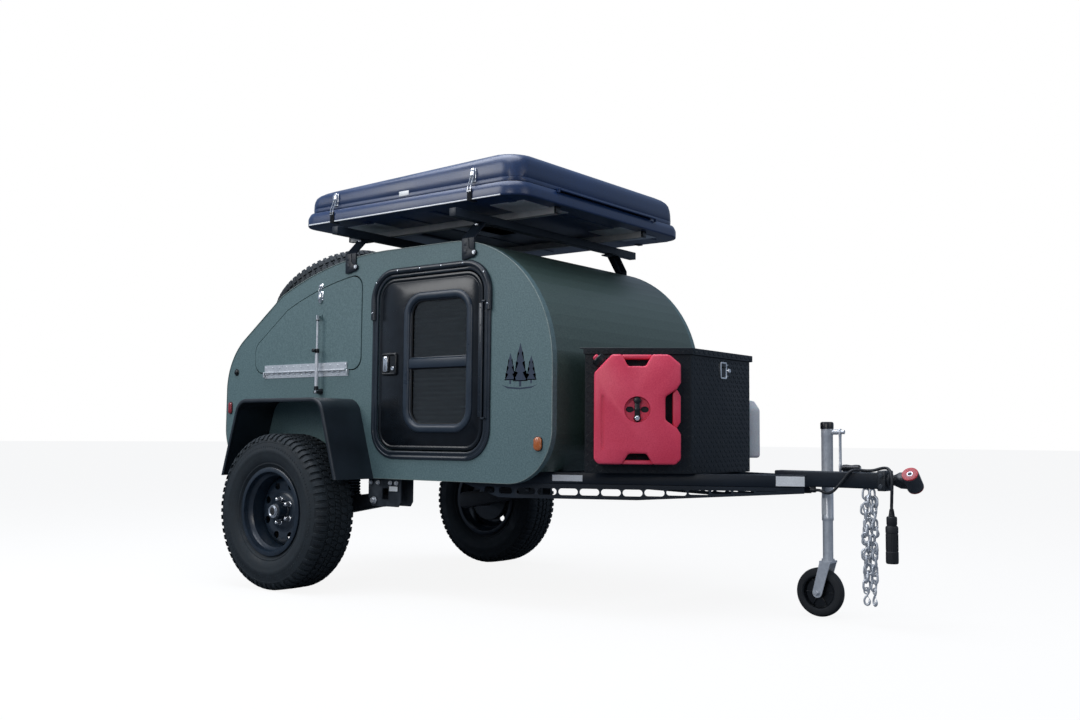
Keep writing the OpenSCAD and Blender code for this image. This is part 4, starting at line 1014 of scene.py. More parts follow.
# Edge moulding: satin anodised aluminium, grey-green where paint overlaps it.
edge_moulding = coating("edge_moulding", "#6f7d78", "#93a09a", 4, (0.3, 0.45), 0.1, patch=60)
dress(wall_paint, "side_walls", "right_side_hatch", "left_side_hatch")
dress(olive_paint, "roof_skin", "rear_panel", "rear_hatch")

nose_x, tail_x, body_low, body_top = 1451.0, -697.0, 527.0, 1595.0
half_w, low_r, nose_r, roof_r, hip_r, tail_r = 610.0, 236.0, 562.0, 1850.0, 200.0, 327.0
hip_a, slope_a = 90 + 23.7, 90 + 35.5
nose_c = Vector((nose_x - nose_r, body_top - nose_r))
nose_low_c = Vector((nose_x - low_r, body_low + low_r))
tail_low_c = Vector((tail_x + low_r, body_low + low_r))
roof_c = Vector((495, body_top - roof_r))


def heading(angle):
    return Vector((cos(radians(angle)), sin(radians(angle))))


hip_c = roof_c + (roof_r - hip_r) * heading(hip_a)
slope_n = heading(slope_a)
tail_c = Vector((tail_x + tail_r, 0))
tail_c.y = (hip_c.dot(slope_n) + hip_r - tail_r - tail_c.x * slope_n.x) / slope_n.y


def body_outline(inset, steps=16):
    """The body's side outline, anticlockwise from the nose's lower corner."""
    found = []
    for centre, radius, start, end in (
            (nose_low_c, low_r, -90, 0), (nose_c, nose_r, 0, 90), (roof_c, roof_r, 90, hip_a),
            (hip_c, hip_r, hip_a, slope_a), (tail_c, tail_r, slope_a, 180),
            (tail_low_c, low_r, 180, 270)):
        found += [centre + (radius - inset) * heading(start + (end - start) * k / steps)
                  for k in range(steps + 1)]
    return found


@pair(edge_moulding, slot="side_walls", smooth=60)
def edge_strip(bm):
    """A slim rounded moulding along the joint of wall and skin."""
    section = [(-0.2, 0.3), (-0.2, 2.4), (1.0, 3.2), (2.6, 2.2), (3.0, 0.6), (3.0, 0.3)]
    line = body_outline(0, 24)
    loops = []
    for i, p in enumerate(line):
        out = (p - line[i - 1]).normalized() if i else Vector((1, 0))
        after = (line[(i + 1) % len(line)] - line[i - 1])
        after = after.normalized() if after.length > 1e-6 else out
        normal = Vector((after.y, -after.x))
        loops.append([(p.x + normal.x * (h - 2.9), -half_w - w, p.y + normal.y * (h - 2.9))
                      for w, h in section])
    lofted(bm, loops, wrap=True)


def rounded(x, z, w, h, r, inset=0.0, y=0.0, steps=9):
    """A rectangle with round corners in X and Z, moved inwards, at depth y."""
    x, z, w, h = x + inset, z + inset, w - 2 * inset, h - 2 * inset
    r = max(r - inset, 1.5)
    found = []
    for cx, cz, start in ((x + w - r, z + r, -90), (x + w - r, z + h - r, 0),
                          (x + r, z + h - r, 90), (x + r, z + r, 180)):
        for k in range(steps + 1):
            p = heading(start + 90 * k / steps)
            found.append((cx + r * p.x, y, cz + r * p.y))
    return found


def profiled(bm, size, profile, steps=9, **loft):
    """A profile of (inset, y) points carried round a rounded rectangle."""
    lofted(bm, [rounded(*size, d, y, steps) for d, y in profile], **loft)


# EPDM seal: dull black, soft-edged.
seal_rubber = coating("seal_rubber", "#090b0d", "#15181b", 2, (0.6, 0.75), 0.2, patch=40)

# ---- doors ----
# The right wall's outer face is at y = -610; pieces that lie on it start a hair outside it.
# A clamp-ring door: satin black aluminium frame with a drip rail, a gloss black leaf, a tinted
# two-pane window in its own ring, a paddle handle, and a pleated blind behind the glass.
# Powder-coated extrusion: satin blue-black, smooth, with soft highlights.
satin_frame = coating("satin_frame", "#131a22", "#1d2731", 6, (0.24, 0.36), 0.08, patch=200)
# Gelcoat: deep gloss black with very faint waves that bend its reflections.
black_gelcoat = coating("black_gelcoat", "#070b10", "#0e141a", 45, (0.2, 0.3), 0.04, patch=300,
                        Coat_Weight=0.1, Coat_Roughness=0.16, Specular_IOR_Level=0.32)
# Window ring: satin black with a blue cast from its clear anodising.
window_ring = coating("window_ring", "#1c2733", "#27333f", 5, (0.26, 0.38), 0.08, patch=150)
door_size = (395, 620, 723, 877, 140)
window_size = (638, 777, 345, 567, 70)
hinge_x, hinge_y = 1078, 624
on_door_pin = shift(hinge_x, -hinge_y, 0)
screw_steel = coating("screw_steel", "#a9adb2", "#d3d6da", 3, (0.16, 0.3), 0.05, patch=12,
                      Metallic=1.0)


@pair(satin_frame, slot="door_frames", whole=True, smooth=45)
def door_ring(bm):
    profile = [(0, -610.1), (0, -614), (2, -617), (8, -618), (13, -618), (15, -616), (24, -616),
               (26, -618), (33, -618), (36.5, -616.5), (37.7, -613), (37.7, -610.1)]
    profiled(bm, door_size, profile, wrap=True)
    rod(bm, 2.5, 800, 1317, 12, on_door_pin)
    for z in (800, 1309):
        block(bm, (hinge_x - 3, -hinge_y - 4, z), (hinge_x + 17, -618, z + 8), bevel=0.8)
        block(bm, (hinge_x + 4, -618.2, z), (hinge_x + 17, -612, z + 8))


@pair(satin_frame, slot="door_frames", smooth=45)
def drip_rail(bm):
    line = [Vector((p[0], p[2])) for p in rounded(*door_size, 0, 0, 14)]
    top = [p for p in line if p.y > 1340]
    start, end = Vector((door_size[0] + door_size[2], 1276)), Vector((door_size[0], 1268))
    path = [start] + top + [end]
    section = [(-5, -610.2), (-5.6, -617), (-3, -625), (4, -629), (14, -629), (20, -625),
               (22, -619.5), (17, -618.4)]
    loops = []
    for i, p in enumerate(path):
        ahead = (path[min(i + 1, len(path) - 1)] - path[max(i - 1, 0)]).normalized()
        out = Vector((ahead.y, -ahead.x))
        loops.append([(p.x - out.x * d, y, p.y - out.y * d) for d, y in section])
    lofted(bm, loops)


@pair(screw_steel, slot="door_frames")
def door_screws(bm):
    spots = [outward(x, -629, z, x) for x, z in
             ((565, 1488), (705, 1488), (835, 1488), (965, 1488), (1109, 1300), (404, 1300),
              (1086, 1440), (428, 1440))]
    repeated(bm, dome_screw(4.4), spots, screw_steel)


@pair(black_gelcoat, "$_door", "$_door", whole=True, smooth=40)
def door_leaf(bm):
    leaf = (438, 663, 637, 791, 97)
    profile = [(6, -586), (0, -590), (0, -611), (2, -614.5), (7, -616), (15, -616), (17, -614.4),
               (20, -613.8), (23, -614.4), (25, -616)]
    loops = [rounded(*leaf, d, y) for d, y in profile]
    loops += [rounded(*window_size, d, y) for d, y in ((-8, -616), (0, -615), (0, -587),
                                                       (-8, -586))]
    lofted(bm, loops, wrap=True)


@pair(satin_frame, "$_door", "$_door")
def door_hinge(bm):
    tube_between(bm, 2.6, 4.4, 810, 1307, 20, on_door_pin)
    block(bm, (hinge_x - 24, -621, 811), (hinge_x - 2, -616.1, 1306), bevel=0.8)
    repeated(bm, dome_screw(3.4), [outward(hinge_x - 14, -621, 830 + 76 * k)
                                   for k in range(7)], satin_frame)


@pair(window_ring, "$_door", "$_door", smooth=45)
def window_frame(bm):
    profile = [(0, -616.05), (0.4, -619), (3, -622), (9, -623.6), (20, -623.8), (28, -622.6),
               (32.4, -620), (34.4, -616), (35.6, -608), (35.6, -603), (37.5, -602.3),
               (37.5, -610), (30, -616)]
    profiled(bm, (603, 742, 415, 637, 105), profile, 12, wrap=True)
    block(bm, (637, -620, 1033), (984, -604, 1075), bevel=3, steps=3)
    block(bm, (640, -612, 1075), (981, -603.5, 1083), bevel=1.5)
    block(bm, (790, -623, 757), (832, -621, 763), bevel=0.8)


@pair(seal_rubber, "$_door", "$_door", smooth=45)
def window_gasket(bm):
    profiled(bm, window_size, [(1.6, -602.2), (1.6, -606), (4, -607.5), (7, -606), (7, -602.2)],
             12, wrap=True)
    for z in (1028, 1080):
        block(bm, (644, -606.5, z), (977, -602.2, z + 5), bevel=1)


@pair(black_abs, "$_door", "$_door", smooth=45)
def handle_bezel(bm):
    profiled(bm, (465, 1004, 97, 106, 15),
             [(0, -616.05), (0, -622), (2, -625), (6, -627), (10, -627), (13, -624.5), (14, -619),
              (40, -618.6)], 6)
    block(bm, (508, -624, 1020), (512, -619, 1094), bevel=1)


@pair(chrome, "$_door", "$_door")
def handle_paddle(bm):
    profiled(bm, (479, 1021, 27, 72, 7), [(0, -619), (0, -625), (1.5, -627.5), (5, -628.5)], 5)
    turned(bm, [(0, 0), (9.5, 0), (9.5, 6), (8, 8), (6, 8.4), (2.2, 7), (0, 7)], 28,
           outward(538, -619, 1036))
    turned(bm, [(0, 0), (4, 0), (4, 2), (2, 3.4), (0, 3.6)], 16, outward(492, -628.4, 1080))


# Smoked safety glass: dark grey-green body tint, polished.
smoked_glass, glass_tree, glass_place = start_material("smoked_glass")
film = add_node(glass_tree, "TexNoise", {"Vector": glass_place, "Scale": 18.0, "Detail": 3.0})
haze = ranged(glass_tree, film, target=(0.01, 0.05))
deep = blend(glass_tree, film, srgb("#7d868b"), srgb("#8b9498"))
surface(glass_tree, Base_Color=deep, Roughness=haze, Transmission_Weight=1.0, IOR=1.45)
dress(smoked_glass, "right_window", "left_window")


def weave_material(name, dark, light, thread, rough=0.9, sheen=0.3):
    """A plain weave, drawn at thread (mm), coarser than the real one so that it shows."""
    material, tree, place = start_material(name)
    axes = add_node(tree, "SeparateXYZ", {"Vector": place})
    waves = []
    for axis in ("X", "Z"):
        angle = reckoned(tree, "MULTIPLY", axes.outputs[axis], tau * 500 / thread)
        waves.append(reckoned(tree, "SINE", angle))
    cross = reckoned(tree, "MULTIPLY", waves[0], waves[1])
    slub = add_node(tree, "TexNoise", {"Vector": place, "Scale": 120.0, "Detail": 4.0})
    total = reckoned(tree, "ADD", cross, slub)
    share = ranged(tree, total, (-0.6, 1.6))
    tone = blend(tree, share, srgb(dark), srgb(light))
    relief = relief_of(tree, 0.5, thread / 3000, total)
    surface(tree, Base_Color=tone, Roughness=rough, Sheen_Weight=sheen, Normal=relief)
    return material


# Pleated blind: grey polyester cloth, plain weave.
blind_cloth = weave_material("blind_cloth", "#3b4044", "#62686b", 3.0)
pleat, pleat_depth = 22.0, 4.0
blind_rows, blind_columns = 108, 24


def blind_point(i, j):
    """The blind's middle surface: zigzag pleats that sag a little between the cords."""
    x = 633 + 355 * i / blind_columns
    drop = 587 * j / blind_rows
    fold = abs(((drop / pleat) % 1) * 2 - 1) * 2 - 1
    sag = 2.6 * sin(pi * i / blind_columns * 3) ** 2 * sin(drop / 60)
    inner = 0 < j < blind_rows
    return Vector((x, -580.7 - pleat_depth * fold * 0.9, 1354 - drop + sag * inner))


def blind(bm):
    grid = [[bm.verts.new(blind_point(i, j)) for i in range(blind_columns + 1)]
            for j in range(blind_rows + 1)]
    for j in range(blind_rows):
        for i in range(blind_columns):
            bm.faces.new((grid[j][i], grid[j + 1][i], grid[j + 1][i + 1], grid[j][i + 1]))
    bmesh.ops.recalc_face_normals(bm, faces=bm.faces)
    bmesh.ops.solidify(bm, geom=list(bm.faces), thickness=0.5)
    # Solidify makes the rim in any order; sorting gives the same mesh on each run.
    bm.verts.index_update()
    bm.faces.sort(key=lambda f: sum(v.index * 10000 ** n for n, v in enumerate(f.verts[:3])))
    bm.edges.sort(key=lambda e: 10000 * min(v.index for v in e.verts)
                  + max(v.index for v in e.verts))


for made, side in zip(pair(blind_cloth, "$_door", "$_shade", whole=True, smooth=50,
                           name="blind_cloth")(blind), ("right", "left")):
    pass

# ---- side hatches ----
# A panel cut from each wall folds down on a steel piano hinge. One draw latch holds it shut, and
# a telescopic stay carries it when it is open.
# Rolled steel strip: bright nickel plate with fine lengthwise scratches.
nickel_strip = coating("nickel_strip", "#cdd0d3", "#dcdfe1", 10, (0.26, 0.36), 0.02, patch=80,
                       Metallic=0.5)


def knuckle(bm, x):
    """One link of the piano hinge's barrel."""
    turned(bm, [(4.7, 0), (5.4, 0.5), (5.4, 19.5), (4.7, 20)], 16,
           facing((x, -618, 1041), (1, 0, 0)), closed=True)


def hinge_screws(bm, y, z):
    repeated(bm, dome_screw(4.2), [outward(-372 + 53.5 * k, y, z, k) for k in range(12)],
             nickel_strip)


@pair(nickel_strip, slot="side_walls")
def hinge_wall_leaf(bm):
    block(bm, (-390, -611.8, 1012), (231, -610.05, 1036), bevel=0.5, steps=1)
    for x in (-390.6, 224.4):
        block(bm, (x, -623.4, 1016), (x + 7.2, -610, 1044), bevel=0.8)
    for k in range(15):
        x = -380 + 41 * k
        knuckle(bm, x)
        block(bm, (x + 0.5, -617, 1030), (x + 19.5, -611, 1037), bevel=0.5, steps=1)
    hinge_screws(bm, -611.7, 1022)


@pair(nickel_strip, "$_side_hatch", "$_side_hatch")
def hinge_hatch_leaf(bm):
    block(bm, (-383, -619.4, 1046), (224, -612.05, 1078), bevel=0.6, steps=1)
    for k in range(14):
        knuckle(bm, -359.5 + 41 * k)
    hinge_screws(bm, -619.3, 1065)


@pair(chrome, "$_side_hatch", "$_side_hatch")
def hatch_latch(bm):
    block(bm, (10, -614.6, 1386), (44, -612.05, 1432), bevel=0.8)
    lofted(bm, [[(x, y, z) for x, y in ((27 - w, -614.5), (27 + w, -614.5), (27 + w - 2, top),
                                        (27 - w + 2, top))]
                for z, w, top in ((1374, 7, -620), (1380, 9, -624), (1400, 10, -627),
                                  (1416, 11, -624), (1428, 10, -618))], bevel=1)
    for side in (-1, 1):
        swept(bm, [(27 + side * 7.5, -622, 1408), (27 + side * 7.5, -621, 1436),
                   (27 + side * 5, -619, 1452)], 1.7, 8)
    rod(bm, 2.4, -9, 9, 12, facing((27, -622, 1408), (1, 0, 0)))
    repeated(bm, dome_screw(2.6), [outward(x, -614.5, z) for x in (14.5, 39.5)
                                   for z in (1391, 1427)], nickel_strip)


@pair(chrome, slot="side_walls")
def latch_catch(bm):
    block(bm, (14, -612.4, 1444), (40, -610.05, 1470), bevel=0.8)
    lofted(bm, [[(x, y, z) for x, z in ((17, 1450), (37, 1450), (35, 1457), (19, 1457))]
                for y in (-612, -621)], bevel=1.5)
    block(bm, (17, -622, 1453), (37, -618, 1461), bevel=1.2)


on_stay = shift(36, -640, 0)


@pair(black_abs, "$_stay_sleeve", "$_stay_sleeve")
def stay_collar(bm):
    turned(bm, [(9.1, 1126), (11.5, 1128), (12, 1132), (12, 1144), (10, 1147), (5.2, 1148),
                (5.2, 1145), (9.1, 1143)], 24, on_stay, closed=True)
    turned(bm, [(0, 0), (5, 0), (5, 6), (9, 8), (9.6, 14), (8, 17), (0, 18)], 20,
           outward(36, -651, 1137))
    turned(bm, [(9.1, 944), (11, 945), (11, 962), (9.1, 964)], 24, on_stay, closed=True)


@pair(black_abs, "$_stay_rod", "$_stay_rod")
def stay_tip(bm):
    turned(bm, [(5.1, 1284.5), (8, 1284.5), (8.6, 1286), (8.6, 1288), (7.4, 1289.5),
                (5.1, 1289.5)], 24, on_stay, closed=True)


# Anodised tube: satin silver, drawn lengthwise.
satin_aluminium = coating("satin_aluminium", "#c4c7cb", "#d8dadd", 6, (0.28, 0.4), 0.03, patch=60,
                          Metallic=0.5)
dress(satin_aluminium, "right_stay_sleeve", "left_stay_sleeve", "right_stay_rod", "left_stay_rod")
dress(black_abs, "stay_brackets")


@pair(black_abs, slot="side_walls")
def wall_socket(bm):
    turned(bm, [(0, 0), (18, 0), (18, 2), (16, 4), (12.5, 4.5), (12, 8), (10, 9), (0, 9.4)], 32,
           outward(-619, -610.05, 1051))
    block(bm, (-627, -622, 1047), (-611, -617, 1055), bevel=2)


# ---- lights ----
# Moulded acrylic lenses with inner ribs over white reflectors, on black ABS bases.
def lens_material(name, dark, light):
    """Dyed acrylic: glossy, lit by its own depth, with moulded inner ribs."""
    material, tree, place = start_material(name)
    ribs = add_node(tree, "TexWave", {"Vector": place, "Scale": 70.0, "Distortion": 0.4},
                    bands_direction="Z")
    tone = blend(tree, ribs.outputs["Fac"], srgb(dark), srgb(light))
    relief = relief_of(tree, 0.4, 0.0008, ribs.outputs["Fac"])
    surface(tree, Base_Color=tone, Roughness=0.12, Coat_Weight=0.8,
            Coat_Roughness=0.05, Normal=relief)
    return material


amber_lens = lens_material("amber_lens", "#8e4316", "#d0753a")
red_lens = lens_material("red_lens", "#5e0f18", "#a3242f")
clear_lens = lens_material("clear_lens", "#b9bec2", "#e4e7e9")


lens_profile = [(2.5, -612.4), (2.5, -616), (4, -619), (8, -621.4), (14, -622)]
base_profile = [(0, -610.05), (0, -612.4), (1.2, -613.4), (2.6, -613.4)]
front_marker, rear_marker = (1356, 667, 46, 62, 20), (-678, 833, 32, 64, 14)
for word, size, profile, finish in (("front_marker_lens", front_marker, lens_profile, amber_lens),
                                    ("rear_marker_lens", rear_marker, lens_profile, red_lens),
                                    ("front_marker_base", front_marker, base_profile, black_abs),
                                    ("rear_marker_base", rear_marker, base_profile, black_abs)):
    pair(finish, slot="marker_lights", whole=word == "front_marker_lens", name=word)(
        lambda bm, size=size, profile=profile: profiled(bm, size, profile, 6))


@pair(red_lens, slot="marker_lights")
def tail_lamp_red(bm):
    prism(bm, [(-700, 802), (-703, 800), (-718, 801), (-720.5, 804), (-720.5, 853), (-718, 856),
               (-700, 856)], -498, -372, bevel=2)


@pair(clear_lens, slot="marker_lights")
def tail_lamp_clear(bm):
    prism(bm, [(-700, 857), (-718, 857), (-720.5, 860), (-720.5, 876), (-718, 879), (-700, 880)],
          -498, -372, bevel=2)


@pair(black_abs, slot="marker_lights")
def tail_lamp_base(bm):
    block(bm, (-703, -500, 800), (-697.1, -370, 880), bevel=1.5)


# ---- wall decal ----
# A cut vinyl motif of three fir trees on the front of each wall: matt blue-black film.
decal_vinyl = coating("decal_vinyl", "#1c2b3e", "#25354a", 5, (0.45, 0.6), 0.1, patch=60)


@pair(decal_vinyl, slot="side_walls")
def fir_tree_decal(bm):
    for x, z, h, w in ((1226, 950, 132, 66), (1280, 938, 186, 84), (1338, 950, 118, 60)):
        outline, tiers = [], 4
        for tier in range(tiers):
            low = z + h * (0.12 + 0.88 * tier / tiers)
            high = z + h * (0.12 + 0.88 * (tier + 1) / tiers)
            wide = w / 2 * (1 - 0.22 * tier)
            outline += [(wide, low + 4), (wide * 0.86, low), (wide * 0.30, high - h * 0.02)]
        points = [(w * 0.07, z)] + [(w * 0.07, z + h * 0.12)] + outline[:-1] + [(0, z + h)]
        mirrored = [(-a, b) for a, b in points[:-1][::-1]]
        prism(bm, [(x + a, b) for a, b in points + mirrored], -610.22, -610.03)
    prism(bm, [(1180, 946), (1215, 938), (1280, 933), (1345, 938), (1372, 946), (1340, 931),
               (1280, 926), (1212, 931)], -610.22, -610.03)


# ---- spare wheel ----
# The same rim and tyre, bolted through a tube to a plate on the rear hatch. No hub barrel: the
# centre bore shows the mount.
hip_end, tail_start = hip_c + hip_r * slope_n, tail_c + tail_r * slope_n
spare_foot = (hip_end + tail_start) / 2 + 28 * heading(slope_a - 90)
on_mount = (shift(spare_foot.x, 0, spare_foot.y) @ spin(radians(90 - slope_a), "Y"))
on_spare = on_mount @ shift(0, 0, 147.5)
for word, build, finish, slot in (
        ("tyre_carcass", tyre_carcass, tyre_rubber, "spare_tyre"),
        ("tyre_tread", tread, tyre_rubber, "spare_tyre"),
        ("rim_barrel", rim_barrel, gloss_rim, "spare_rim"),
        ("rim_disc", rim_disc, gloss_rim, "spare_rim"),
        ("wheel_nuts", wheel_nuts, chrome, "spare_rim")):
    spare_mesh = bmesh.new()
    build(on_spare)(spare_mesh)
    piece("spare_" + word, spare_mesh, finish, "rear_hatch", slot,
          whole=word in ("tyre_carcass", "rim_barrel"))
dress(cast_black, "spare_mount")
mount_bolts = bmesh.new()
repeated(mount_bolts, hex_bolt(17, 9, 2.5), [on_mount @ shift(x, y, 8.2)
                                             for x in (-70, 70) for y in (-70, 70)], bright_zinc)
piece("spare_mount_bolts", mount_bolts, bright_zinc, "rear_hatch", "spare_mount")

# ---- cabin floor and galley ----
# Birch plywood, lacquered; the edges show behind the rear hatch and through the doors.
birch_ply, ply_tree, ply_place = start_material("birch_ply")
ply_axes = add_node(ply_tree, "Mapping", {"Vector": ply_place, "Scale": (3.0, 26.0, 26.0)})
ply_grain = add_node(ply_tree, "TexNoise", {"Vector": ply_axes, "Scale": 4.0,
                                            "Detail": 6.0, "Distortion": 1.2})
ply_tone = blend(ply_tree, ply_grain, srgb("#b38d5f"), srgb("#d9bd92"))
ply_relief = relief_of(ply_tree, 0.2, 0.0004, ply_grain)
surface(ply_tree, Base_Color=ply_tone, Roughness=0.42, Normal=ply_relief)
dress(birch_ply, "galley_cabinet", "floor")

# ---- tongue box ----
# Folded aluminium tread plate, powder-coated black: a five-sided chest with a lipped lid, raised
# lugs on every face, and a chrome slam latch with its own lock.
# Tread plate: satin blue-black with a fine orange peel.
tread_plate = coating("tread_plate", "#050c12", "#0e1820", 4, (0.3, 0.46), 0.25, patch=160,
                      Specular_IOR_Level=0.35)
box_back, box_front, box_low, box_high = 1540.0, 1905.0, 580.0, 1083.0
box_slope = atan2(240, 365)


def box_half(x, grow):
    """Half the chest's width at x, grown outwards."""
    return 505 + grow / cos(box_slope) - (x - box_back) * tan(box_slope)


def box_plan(grow, z, back=None, round_by=9):
    back = box_back - grow if back is None else back
    front = box_front + grow
    corners = [(back, -box_half(back, grow), 0), (front, -box_half(front, grow), round_by),
               (front, box_half(front, grow), round_by), (back, box_half(back, grow), 0)]
    return [(p.x, p.y, z) for p in rounded_path(corners, 5)]


def tread_lugs(bm, origin, across, up, width, height, inside=lambda a, b: True):
    """Lugs in pairs at right angles, raised 1 mm from a flat face."""
    outward = across.cross(up)
    lug = bmesh.new()
    lofted(lug, [round_loop(10, *size) for size in ((11.5, 2.7, -0.2), (10.2, 2.1, 0.9),
                                                    (7, 1.0, 1.3))])
    turned_by = Matrix((across, up, outward)).transposed().to_4x4()
    places = []
    step = 20.0
    for i in range(int(width / step)):
        for j in range(int(height / step)):
            a, b = (i + 0.5) * width / int(width / step), (j + 0.5) * height / int(height / step)
            if inside(a, b):
                places.append(Matrix.Translation(origin + across * a + up * b) @ turned_by
                              @ spin(radians(45 if (i + j) % 2 else -45), "Z"))
    repeated(bm, lug, places, tread_plate)


on_box_hinge = shift(1527, 0, 1077) @ lying
box_mesh = bmesh.new()
lofted(box_mesh, [box_plan(-1.5, box_low), box_plan(0, box_low + 1.5), box_plan(0, box_high),
                  box_plan(-4, box_high), box_plan(-4, box_low + 4)])
side_run = Vector((365, 240, 0)).normalized()
for s in (1, -1):
    tread_lugs(box_mesh, Vector((1540, -505, 580)) if s > 0 else Vector((1905, 265, 580)),
               side_run if s > 0 else Vector((-365, 240, 0)).normalized(), along_z,
               436.8, 486)
tread_lugs(box_mesh, Vector((1905, -262, 580)), along_y, along_z, 524, 486)
rod(box_mesh, 2.5, -388, 388, 12, on_box_hinge)
for y in (-388, 379):
    block(box_mesh, (1524, y, 1072), (1541, y + 9, 1082))
piece("tongue_box_chest", box_mesh, tread_plate, "chassis", "tongue_box", whole=True)

lid_mesh = bmesh.new()
lofted(lid_mesh, [box_plan(12, 1094.2), box_plan(12, 1096.8), box_plan(10.6, 1098)])
skirt = [box_plan(g, z, 1541) for g, z in ((12, 1094.3), (12, 1072), (11, 1071), (9, 1071),
                                           (8, 1072), (8, 1094.3))]
lofted(lid_mesh, [[row[i] for row in skirt] for i in range(len(skirt[0]))])
tread_lugs(lid_mesh, Vector((1534, -520, 1097.9)), along_x, along_y, 378, 1040,
           lambda a, b: abs(b - 520) < box_half(1534 + a, 12) - 12)
tread_lugs(lid_mesh, Vector((1917, -268, 1073)), along_y, along_z, 536, 22)
for s in (1, -1):
    start = Vector((1548, -s * box_half(1548, 12), 1073))
    run = Vector((365, s * 240, 0)).normalized()
    tread_lugs(lid_mesh, start if s > 0 else start + run * 436, run if s > 0 else -run,
               along_z, 436, 22)
tube_between(lid_mesh, 2.6, 4.5, -378, 378, 20, on_box_hinge)
block(lid_mesh, (1524, -378, 1080), (1532, 378, 1096), bevel=0.6)
piece("tongue_box_lid_sheet", lid_mesh, tread_plate, "tongue_box_lid", "tongue_box_lid",
      whole=True)

slam_frame, slam_paddle = bmesh.new(), bmesh.new()
front = Matrix((along_y, along_x, along_z)).transposed().to_4x4()
front = shift(1905.2, 14, 1020) @ front
lofted(slam_frame, [[front @ Vector(p) for p in rounded(-28, -37, 56, 74, 8, d, y, 5)]
                    for d, y in ((0, 0), (0, 2.6), (1.5, 4), (6, 4), (8, 2.4), (9, 0.4))])
turned(slam_frame, [(0, 0), (11, 0), (11, 3), (9.5, 9), (7.5, 11), (2, 11.4), (0, 10.4)], 28,
       facing(front @ Vector((42, 0, 0)), (1, 0, 0)))
repeated(slam_frame, dome_screw(4), [facing(front @ Vector((x, 0.4, z)), (1, 0, 0)) for x, z in
                                     ((39, 24), (39, -24), (-22, 31), (-22, -31))], chrome)
lofted(slam_paddle, [[front @ Vector(p) for p in rounded(-19, -28, 38, 56, 4, d, y, 5)]
                     for d, y in ((0, 0.2), (0, 1.8), (1.5, 3), (5, 3))])
block(slam_paddle, front @ Vector((-16, 2.6, 10)), front @ Vector((16, 6.5, 20)), bevel=1.4)
piece("slam_latch_frame", slam_frame, chrome, "chassis", "tongue_box")
piece("slam_latch_paddle", slam_paddle, black_gelcoat, "chassis", "tongue_box")

# ---- fuel and water cans ----
# Rotomoulded cans on the box's slanted sides: round-edged slabs with pinched-in handles, the red
# one held by a T-handle lock in its centre recess.
# Red polyethylene: waxy satin with slight orange peel.
red_polyethylene = coating("red_polyethylene", "#e03a57", "#ec4d69", 5, (0.34, 0.46), 0.14,
                           patch=220, Subsurface_Weight=0.04, Subsurface_Scale=0.004)
# White polyethylene: milky, slightly see-through, satin.
white_polyethylene = coating("white_polyethylene", "#c9cbce", "#dddfe1", 5, (0.34, 0.48), 0.12,
                             patch=200, Subsurface_Weight=0.12, Subsurface_Scale=0.006)
on_side_sheet = (shift(1905, -265, 0) @ spin(box_slope, "Z") @ shift(-222, -12, 0))
can_corner = (-175.0, 619.0)
lock_z = 841


def in_can(outline):
    return [(can_corner[0] + a, can_corner[1] + b) for a, b in outline]


can_mesh, slab, hollow = bmesh.new(), bmesh.new(), bmesh.new()
prism(slab, in_can([(18, 0), (113, 0), (140, 44), (212, 44), (238, 0), (328, 0), (350, 22),
                    (350, 122), (334, 148), (288, 180), (288, 274), (334, 304), (350, 330),
                    (350, 405), (302, 445), (234, 445), (209, 397), (137, 397), (113, 445),
                    (72, 445), (0, 369), (0, 18)]), -96, -0.4, bevel=9, steps=3)
slots = []
turned(hollow, [(0, -30), (11, -30), (11, 71), (50, 71), (52.5, 77), (53, 110), (0, 110)], 48,
       outward(0, 0, lock_z))
for s in (-1, 1):
    outline = [(s * 31 + 16 * cos(a) * (1 if cos(a) * s > 0 else 1.1),
                lock_z + 12.5 * sin(a)) for a in (tau * k / 20 for k in range(20))]
    slots.append(bmesh.new())
    prism(slots[-1], outline, -74, -50)
slots.append(bmesh.new())
prism(slots[-1], in_can([(28, 66), (35, 58), (42, 66), (42, 272), (35, 280), (28, 272)]), -110,
      -92.5)
for cutter in (hollow, *slots):
    slab = cut_away(slab, cutter)
add_part(can_mesh, slab)
for outline in ([(110, 0), (240, 0), (231, 17), (120, 17)], [(111, 445), (236, 445), (226, 427),
                                                             (121, 427)],
                [(326, 150), (336, 149), (350, 172), (350, 276), (336, 303), (326, 302),
                 (318, 286), (318, 166)]):
    prism(can_mesh, in_can(outline), -78, -16, bevel=6, steps=3)
put(can_mesh, on_side_sheet)
piece("fuel_can_shell", can_mesh, red_polyethylene, "chassis", "fuel_can", whole=True, smooth=28)

handle_mesh = bmesh.new()
for a, b, r in ((-50, 0, 15), (0, 0, 13), (50, 0, 15)):
    turned(handle_mesh, [(0, 60), (r, 60), (r, 88), (r - 2, 91), (r - 5, 92), (0, 92)], 28,
           outward(0, 0, lock_z + a * 0.72))
block(handle_mesh, (-11, -90, 805), (11, -72, 877), bevel=3, steps=3)
block(handle_mesh, (-45, -58, 829.5), (45, -50.4, 852.5))
rod(handle_mesh, 10, -12, 72, 24, outward(0, 0, lock_z))
cap_place = (shift(-175 + 36, -48, 619 + 407)
             @ Vector((-0.726, 0, 0.688)).to_track_quat("Z", "Y").to_matrix().to_4x4())
turned(handle_mesh, [(0, -10), (20, -10), (20, 8), (26, 8), (27, 10), (27, 34), (25, 37), (0, 37)],
       40, cap_place)
grip = bmesh.new()
block(grip, (-1.1, -1.1, 10), (1.1, 1.1, 34), bevel=0.5, steps=1)
repeated(handle_mesh, grip, [cap_place @ spin(tau * k / 30, "Z")
                             @ shift(27.2, 0, 0) for k in range(30)], black_abs)
put(handle_mesh, on_side_sheet)
